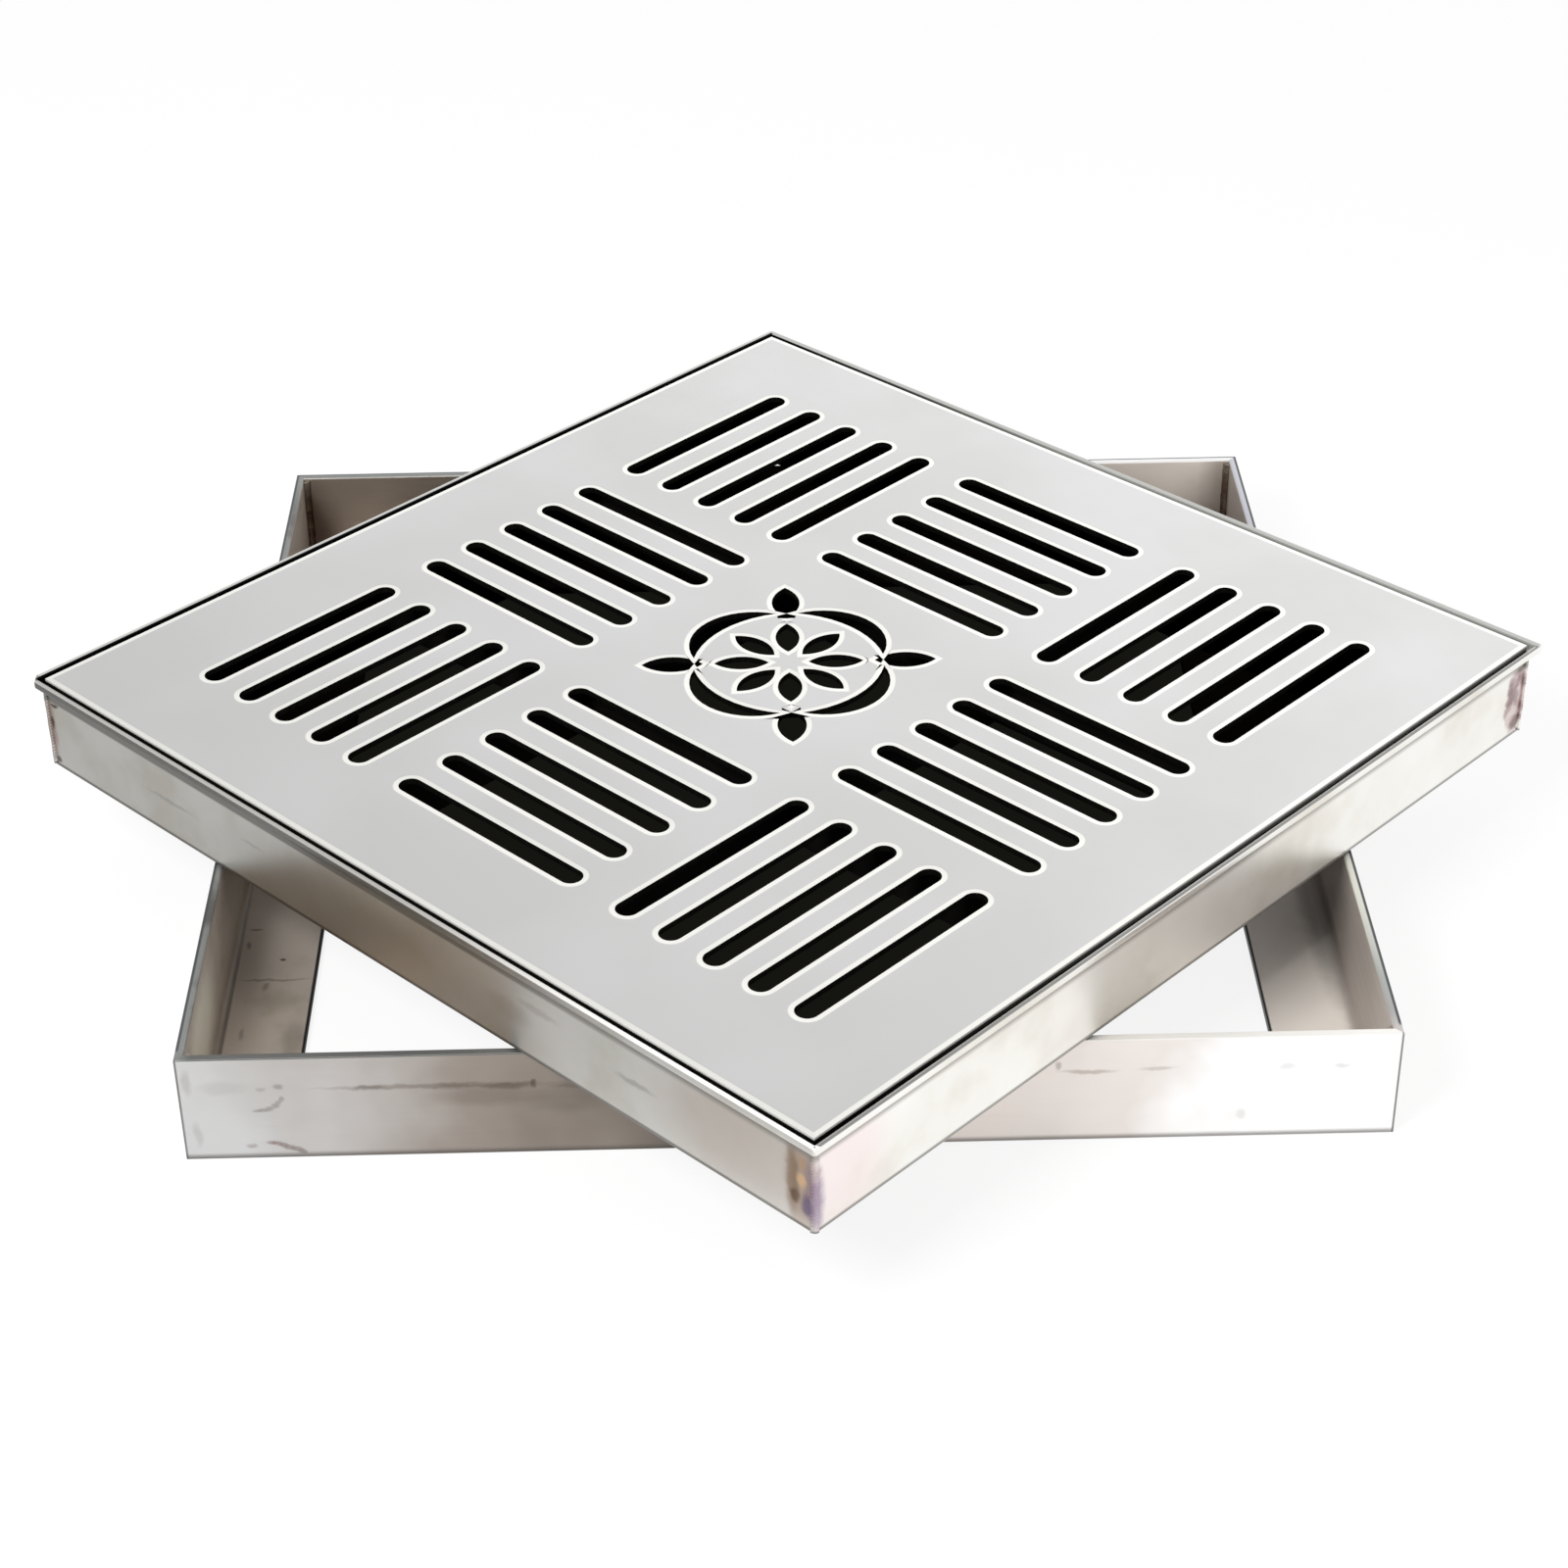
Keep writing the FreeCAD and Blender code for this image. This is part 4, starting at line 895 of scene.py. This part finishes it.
bar_steel = scaled_flat_bar()
hidden_bars = [f"rest_{side}" for side in COVER_SIDES]
hidden_bars += ["rib_along_near", "rib_along_far", "rib_across_near", "rib_across_far", "rib_end_welds"]
for name in hidden_bars:
    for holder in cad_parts[name].material_slots:
        holder.material = bar_steel

# Slotted plate
# One satin stainless plate, laser-cut, that drops into the rim and lies flush with it.
# Every cut is deburred to a bright flat band; the cut walls stay black from the laser.
BAND_WIDTH = 3.0 * MM
BAND_DROP = 0.10 * MM
SAMPLE = 0.5 * MM
MITRE_LIMIT = 0.5
CLEAR_SHARE = 0.9
SHRINK = 0.85
LEAST_BAND = 0.1 * BAND_WIDTH
FACES_UP = 0.9

# Where a finish of the plate begins (input 1) and is full (input 2), along the cover's axes
GROUND_BAND = {1: 0.10, 2: 0.34}
PLATE_EDGE = {1: PLATE_HALF - 1.0 * MM, 2: PLATE_HALF - 0.5 * MM}
FRONT_EDGE = {1: -PLATE_HALF + 1.0 * MM, 2: -PLATE_HALF + 0.5 * MM}
GREYER_RIGHT = {1: -PLATE_HALF, 2: 0.3 * PLATE_HALF}
PALE_BAND_TOP = {1: RIM_TOP - 1.5 * MM, 2: RIM_TOP - 0.8 * MM}


def satin_plate_steel():
    """Satin stainless plate: even pale grey with a faint cloud, and a white ground band along each cut."""
    material, tree = new_material("satin_stainless_plate")
    spot = add(tree, "ShaderNodeTexCoord", out="Object")
    cloud = add(tree, "ShaderNodeTexNoise", {}, {"Vector": spot, "Scale": 1 / (110 * MM), "Detail": 2.0})
    satin = ((0.38, "#dcdcdc"), (0.62, "#d6d6d5"))
    colour = add(tree, "ShaderNodeValToRGB", {}, {"Fac": cloud}, stops=satin)
    cut = add(tree, "ShaderNodeAttribute", {"attribute_name": "cut_edge"}, out="Fac")
    ground = add(tree, "ShaderNodeMapRange", SMOOTH, {"Value": cut, **GROUND_BAND})
    colour = add(tree, "ShaderNodeMix", COLOUR, {0: ground, MIX_A: colour, MIX_B: linear("#fefdf8")}, MIXED)
    grain = add(tree, "ShaderNodeTexNoise", {}, {"Vector": spot, "Scale": 1 / (14 * MM), "Detail": 3.0})
    roughness = add(tree, "ShaderNodeMapRange", {}, {"Value": grain, **NOISE, 3: 0.28, 4: 0.32})
    shader = add(tree, "ShaderNodeBsdfPrincipled", {}, {
        "Base Color": colour,
        "Metallic": 1.0,
        "Roughness": roughness,
    })
    add(tree, "ShaderNodeOutputMaterial", {}, {"Surface": shader})
    return material


def laser_cut_oxide():
    """Wall of a laser cut: black oxide in fine upright streaks, painted grey on the front right edge towards
    its right end as painted light, and pale grey along the top of the outer edge.
    """
    material, tree = new_material("laser_cut_oxide")
    spot = add(tree, "ShaderNodeTexCoord", out="Object")
    streak = add(tree, "ShaderNodeMapping", {}, {"Vector": spot, "Scale": (1.0, 1.0, 0.1)})
    streak = add(tree, "ShaderNodeTexNoise", {}, {"Vector": streak, "Scale": 1 / (1.5 * MM), "Detail": 2.0})
    oxide = ((0.36, "#050504"), (0.64, "#0c0d0a"))
    colour = add(tree, "ShaderNodeValToRGB", {}, {"Fac": streak}, stops=oxide)
    turned = add(tree, "ShaderNodeMapping", {}, {"Vector": spot, "Rotation": (0.0, 0.0, -COVER_TURN)})
    axes = add(tree, "ShaderNodeSeparateXYZ", {}, {0: turned}).node.outputs
    apart = add(tree, "ShaderNodeVectorMath", {"operation": "ABSOLUTE"}, {0: turned})
    apart = add(tree, "ShaderNodeSeparateXYZ", {}, {0: apart}).node.outputs
    # Painted light: the front right edge turns grey towards its right end
    grey = add(tree, "ShaderNodeMapRange", {}, {"Value": axes["Y"], **FRONT_EDGE})
    grey = add(tree, "ShaderNodeMapRange", SMOOTH, {"Value": axes["X"], **GREYER_RIGHT, 4: grey})
    outer = add(tree, "ShaderNodeMath", {"operation": "MAXIMUM"}, {0: apart["X"], 1: apart["Y"]})
    outer = add(tree, "ShaderNodeMapRange", {}, {"Value": outer, **PLATE_EDGE})
    pale_band = add(tree, "ShaderNodeMapRange", {}, {"Value": axes["Z"], **PALE_BAND_TOP, 4: outer})
    for share, code in ((grey, "#6a6a67"), (pale_band, "#c4c4c1")):
        colour = add(tree, "ShaderNodeMix", COLOUR, {0: share, MIX_A: colour, MIX_B: linear(code)}, MIXED)
    shader = add(tree, "ShaderNodeBsdfPrincipled", {}, {
        "Base Color": colour,
        "Roughness": 0.9,
        "Specular IOR Level": 0.05,
    })
    add(tree, "ShaderNodeOutputMaterial", {}, {"Surface": shader})
    return material


def cut_loops(form):
    """Closed runs of vertices along the open edges of a mesh."""
    following = {}
    for edge in form.edges:
        if edge.is_boundary:
            for corner in edge.link_loops:
                following[corner.vert] = corner.link_loop_next.vert
    loops = []
    while following:
        start, vert = following.popitem()
        run = [start]
        while vert is not start:
            run.append(vert)
            vert = following.pop(vert)
        loops.append(run)
    return loops


def into_plate(before, here, after):
    """Way into the sheet at a corner of a cut, as long as the mitre needs for a band of width 1."""
    ways = []
    for a, b in ((before, here), (here, after)):
        run = (b.co - a.co).normalized()
        ways.append(Vector((run.y, -run.x, 0.0)))
    middle = (ways[0] + ways[1]).normalized()
    return middle / max(middle.dot(ways[0]), MITRE_LIMIT)


form = joined_copy("slotted_plate")
cut_edge = form.verts.layers.float.new("cut_edge")
top_faces = [face for face in form.faces if face.normal.z > FACES_UP]
bmesh.ops.delete(form, geom=top_faces, context="FACES_ONLY")
bmesh.ops.delete(form, geom=[edge for edge in form.edges if not edge.link_faces], context="EDGES")
for face in form.faces:
    face.material_index = 1
loops = cut_loops(form)

# Points along every cut, to keep the bands of neighbouring cuts apart
along_cuts = []
for run in loops:
    for here, after in zip(run, run[1:] + run[:1]):
        count = max(1, round((after.co - here.co).length / SAMPLE))
        along_cuts += [here.co.lerp(after.co, step / count) for step in range(count)]
nearest_cut = KDTree(len(along_cuts))
for number, point in enumerate(along_cuts):
    nearest_cut.insert(point, number)
nearest_cut.balance()

inner_edges = []
for run in loops:
    inner = []
    for number, here in enumerate(run):
        way = into_plate(run[number - 1], here, run[(number + 1) % len(run)])
        width = BAND_WIDTH
        while nearest_cut.find(here.co + way * width)[2] < CLEAR_SHARE * width and width > LEAST_BAND:
            width *= SHRINK
        vert = form.verts.new(here.co + way * width)
        vert[cut_edge] = 1.0 - width / BAND_WIDTH
        inner.append(vert)
    for number, here in enumerate(run):
        following = (number + 1) % len(run)
        form.faces.new((run[following], run[number], inner[number], inner[following]))
        inner_edges.append(form.edges.get((inner[number], inner[following])))
    for here in run:
        here[cut_edge] = 1.0
        here.co.z -= BAND_DROP
bmesh.ops.triangle_fill(form, use_beauty=True, edges=inner_edges, normal=(0.0, 0.0, 1.0))
bmesh.ops.recalc_face_normals(form, faces=form.faces)
for face in form.faces:
    face.smooth = False
plate_mesh = bpy.data.meshes.new("slotted_plate_sheet")
form.to_mesh(plate_mesh)
form.free()
plate_materials = [satin_plate_steel(), laser_cut_oxide()]
set_in_place(plate_mesh, "slotted_plate_sheet", ["slotted_plate"], plate_materials)

# Floor and light
# A plain white floor round a dark patch of painted shade under the cover, which shows only through the
# slots.
# Soft light comes from all sides, stronger from the right and from low down at the back.
FLOOR_HALF = 12.0
FLOOR_DROP = 0.2 * MM
SHADE_BACK = 0.08
SHADE_REACH = 0.34
SHADE_EDGE = 0.004
LEDGE_MIDDLE = (LEDGE_EDGE + FRAME_HALF) / 2
MIRRORED_SHARE = 0.75
SEEN_SHARE = 0.85
FLOOR_SEEN = 1.12
FLOOR_LIT = 1.20
FLOOR_DIM = 0.28

# Where the floor grows light towards the right, and where the painted shade under the cover ends
LIT_RIGHT = {1: -0.24, 2: 0.12}
SHADE_END = {1: SHADE_REACH, 2: SHADE_REACH - SHADE_EDGE}
UNDER_LEDGE = {1: LEDGE_MIDDLE, 2: LEDGE_MIDDLE - SHADE_EDGE}

floor_mesh = bpy.data.meshes.new("floor")
floor_corners = [(sx * FLOOR_HALF, sy * FLOOR_HALF, -FLOOR_DROP) for sx, sy in corner_signs]
floor_mesh.from_pydata(floor_corners, [], [(0, 1, 2, 3)])
floor = bpy.data.objects.new("floor", floor_mesh)
scene.collection.objects.link(floor)
floor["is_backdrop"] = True


def white_floor():
    """Matt white floor that stays white to the eye, with a faint shadow and a dark patch of painted shade
    under the cover.
    """
    material, tree = new_material("white_floor")
    spot = add(tree, "ShaderNodeTexCoord", out="Object")
    axes = add(tree, "ShaderNodeSeparateXYZ", {}, {0: spot}).node.outputs
    across = add(tree, "ShaderNodeMath", {"operation": "ABSOLUTE"}, {0: axes["X"]})
    ahead = add(tree, "ShaderNodeMath", {"operation": "SUBTRACT"}, {0: SHADE_BACK, 1: axes["Y"]})
    ahead = add(tree, "ShaderNodeMath", {"operation": "MAXIMUM"}, {0: ahead, 1: 0.0})
    shade_distance = add(tree, "ShaderNodeMath", {"operation": "ADD"}, {0: across, 1: ahead})
    floor_shade = add(tree, "ShaderNodeMapRange", SMOOTH, {"Value": shade_distance, **SHADE_END})
    ledge = add(tree, "ShaderNodeMapping", {}, {"Vector": spot, "Location": -FRAME_CENTRE})
    ledge = add(tree, "ShaderNodeVectorMath", {"operation": "ABSOLUTE"}, {0: ledge})
    ledge = add(tree, "ShaderNodeSeparateXYZ", {}, {0: ledge}).node.outputs
    ledge = add(tree, "ShaderNodeMath", {"operation": "MAXIMUM"}, {0: ledge["X"], 1: ledge["Y"]})
    floor_shade = add(tree, "ShaderNodeMapRange", {}, {"Value": ledge, **UNDER_LEDGE, 4: floor_shade})
    paint = {0: floor_shade, MIX_A: linear("#f4f4f4"), MIX_B: linear("#151512")}
    paint = add(tree, "ShaderNodeMix", COLOUR, paint, MIXED)
    rays = add(tree, "ShaderNodeLightPath").node.outputs
    seen = add(tree, "ShaderNodeMath", {"operation": "MULTIPLY"}, {0: rays["Is Camera Ray"], 1: SEEN_SHARE})
    mirrored = add(tree, "ShaderNodeMath", {"operation": "MAXIMUM"}, {
        0: rays["Is Glossy Ray"],
        1: rays["Is Transmission Ray"],
    })
    mirrored = add(tree, "ShaderNodeMath", {"operation": "MULTIPLY"}, {0: mirrored, 1: MIRRORED_SHARE})
    share = add(tree, "ShaderNodeMath", {"operation": "MAXIMUM"}, {0: seen, 1: mirrored})
    lit = {"Value": axes["X"], **LIT_RIGHT, 3: FLOOR_DIM, 4: FLOOR_LIT}
    lit = add(tree, "ShaderNodeMapRange", SMOOTH, lit)
    lit = {0: rays["Is Camera Ray"], 2: lit, 3: FLOOR_SEEN}
    lit = add(tree, "ShaderNodeMix", {"data_type": "FLOAT"}, lit)
    glow = add(tree, "ShaderNodeEmission", {}, {"Color": paint, "Strength": lit})
    matt = add(tree, "ShaderNodeBsdfDiffuse", {}, {"Color": paint})
    surface = add(tree, "ShaderNodeMixShader", {}, {0: share, 1: matt, 2: glow})
    add(tree, "ShaderNodeOutputMaterial", {}, {"Surface": surface})
    return material


floor_mesh.materials.append(white_floor())

# Light from all round: level = SKY_LEVEL + SKY_RIGHT * x + SKY_UP * z along each direction
SKY_LEVEL = 1.57
SKY_RIGHT = 0.90
SKY_UP = -1.11
SKY_LEAST = 0.62
SKY_MOST = 1.28
SKY_FRONT = 0.8
TO_BACK = {1: -0.5, 2: 0.2}
world = bpy.data.worlds.new("soft_studio")
scene.world = world
world.use_nodes = True
sky = world.node_tree
sky.nodes.clear()
way = add(sky, "ShaderNodeTexCoord", out="Generated")
slope = (SKY_RIGHT, 0.0, SKY_UP)
rise = add(sky, "ShaderNodeVectorMath", {"operation": "DOT_PRODUCT"}, {0: way, 1: slope}, "Value")
strength = add(sky, "ShaderNodeMapRange", {}, {
    "Value": rise,
    1: SKY_LEAST - SKY_LEVEL,
    2: SKY_MOST - SKY_LEVEL,
    3: SKY_LEAST,
    4: SKY_MOST,
})
ahead = add(sky, "ShaderNodeSeparateXYZ", {}, {0: way}, "Y")
ahead = add(sky, "ShaderNodeMapRange", SMOOTH, {"Value": ahead, **TO_BACK, 3: SKY_FRONT, 4: 1.0})
strength = add(sky, "ShaderNodeMath", {"operation": "MULTIPLY"}, {0: strength, 1: ahead})
rays = add(sky, "ShaderNodeLightPath").node.outputs
strength = {0: rays["Is Camera Ray"], 2: strength, 3: 1.0}
strength = add(sky, "ShaderNodeMix", {"data_type": "FLOAT"}, strength)
glow = add(sky, "ShaderNodeBackground", {}, {"Color": (1.0, 1.0, 1.0, 1.0), "Strength": strength})
add(sky, "ShaderNodeOutputWorld", {}, {"Surface": glow})

# One soft lamp high in front, to the left
LAMP_PLACE = Vector((-0.70, -1.00, 1.25))
LAMP_SIZE = 0.5
LAMP_WATTS = 20.0
lamp = bpy.data.lights.new("soft_lamp", "AREA")
lamp.shape = "SQUARE"
lamp.size = LAMP_SIZE
lamp.energy = LAMP_WATTS
lamp_holder = bpy.data.objects.new("soft_lamp", lamp)
lamp_turn = LAMP_PLACE.to_track_quat("Z", "Y").to_matrix().to_4x4()
lamp_holder.matrix_world = Matrix.Translation(LAMP_PLACE) @ lamp_turn
scene.collection.objects.link(lamp_holder)

scene.view_settings.view_transform = "Standard"

low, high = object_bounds()
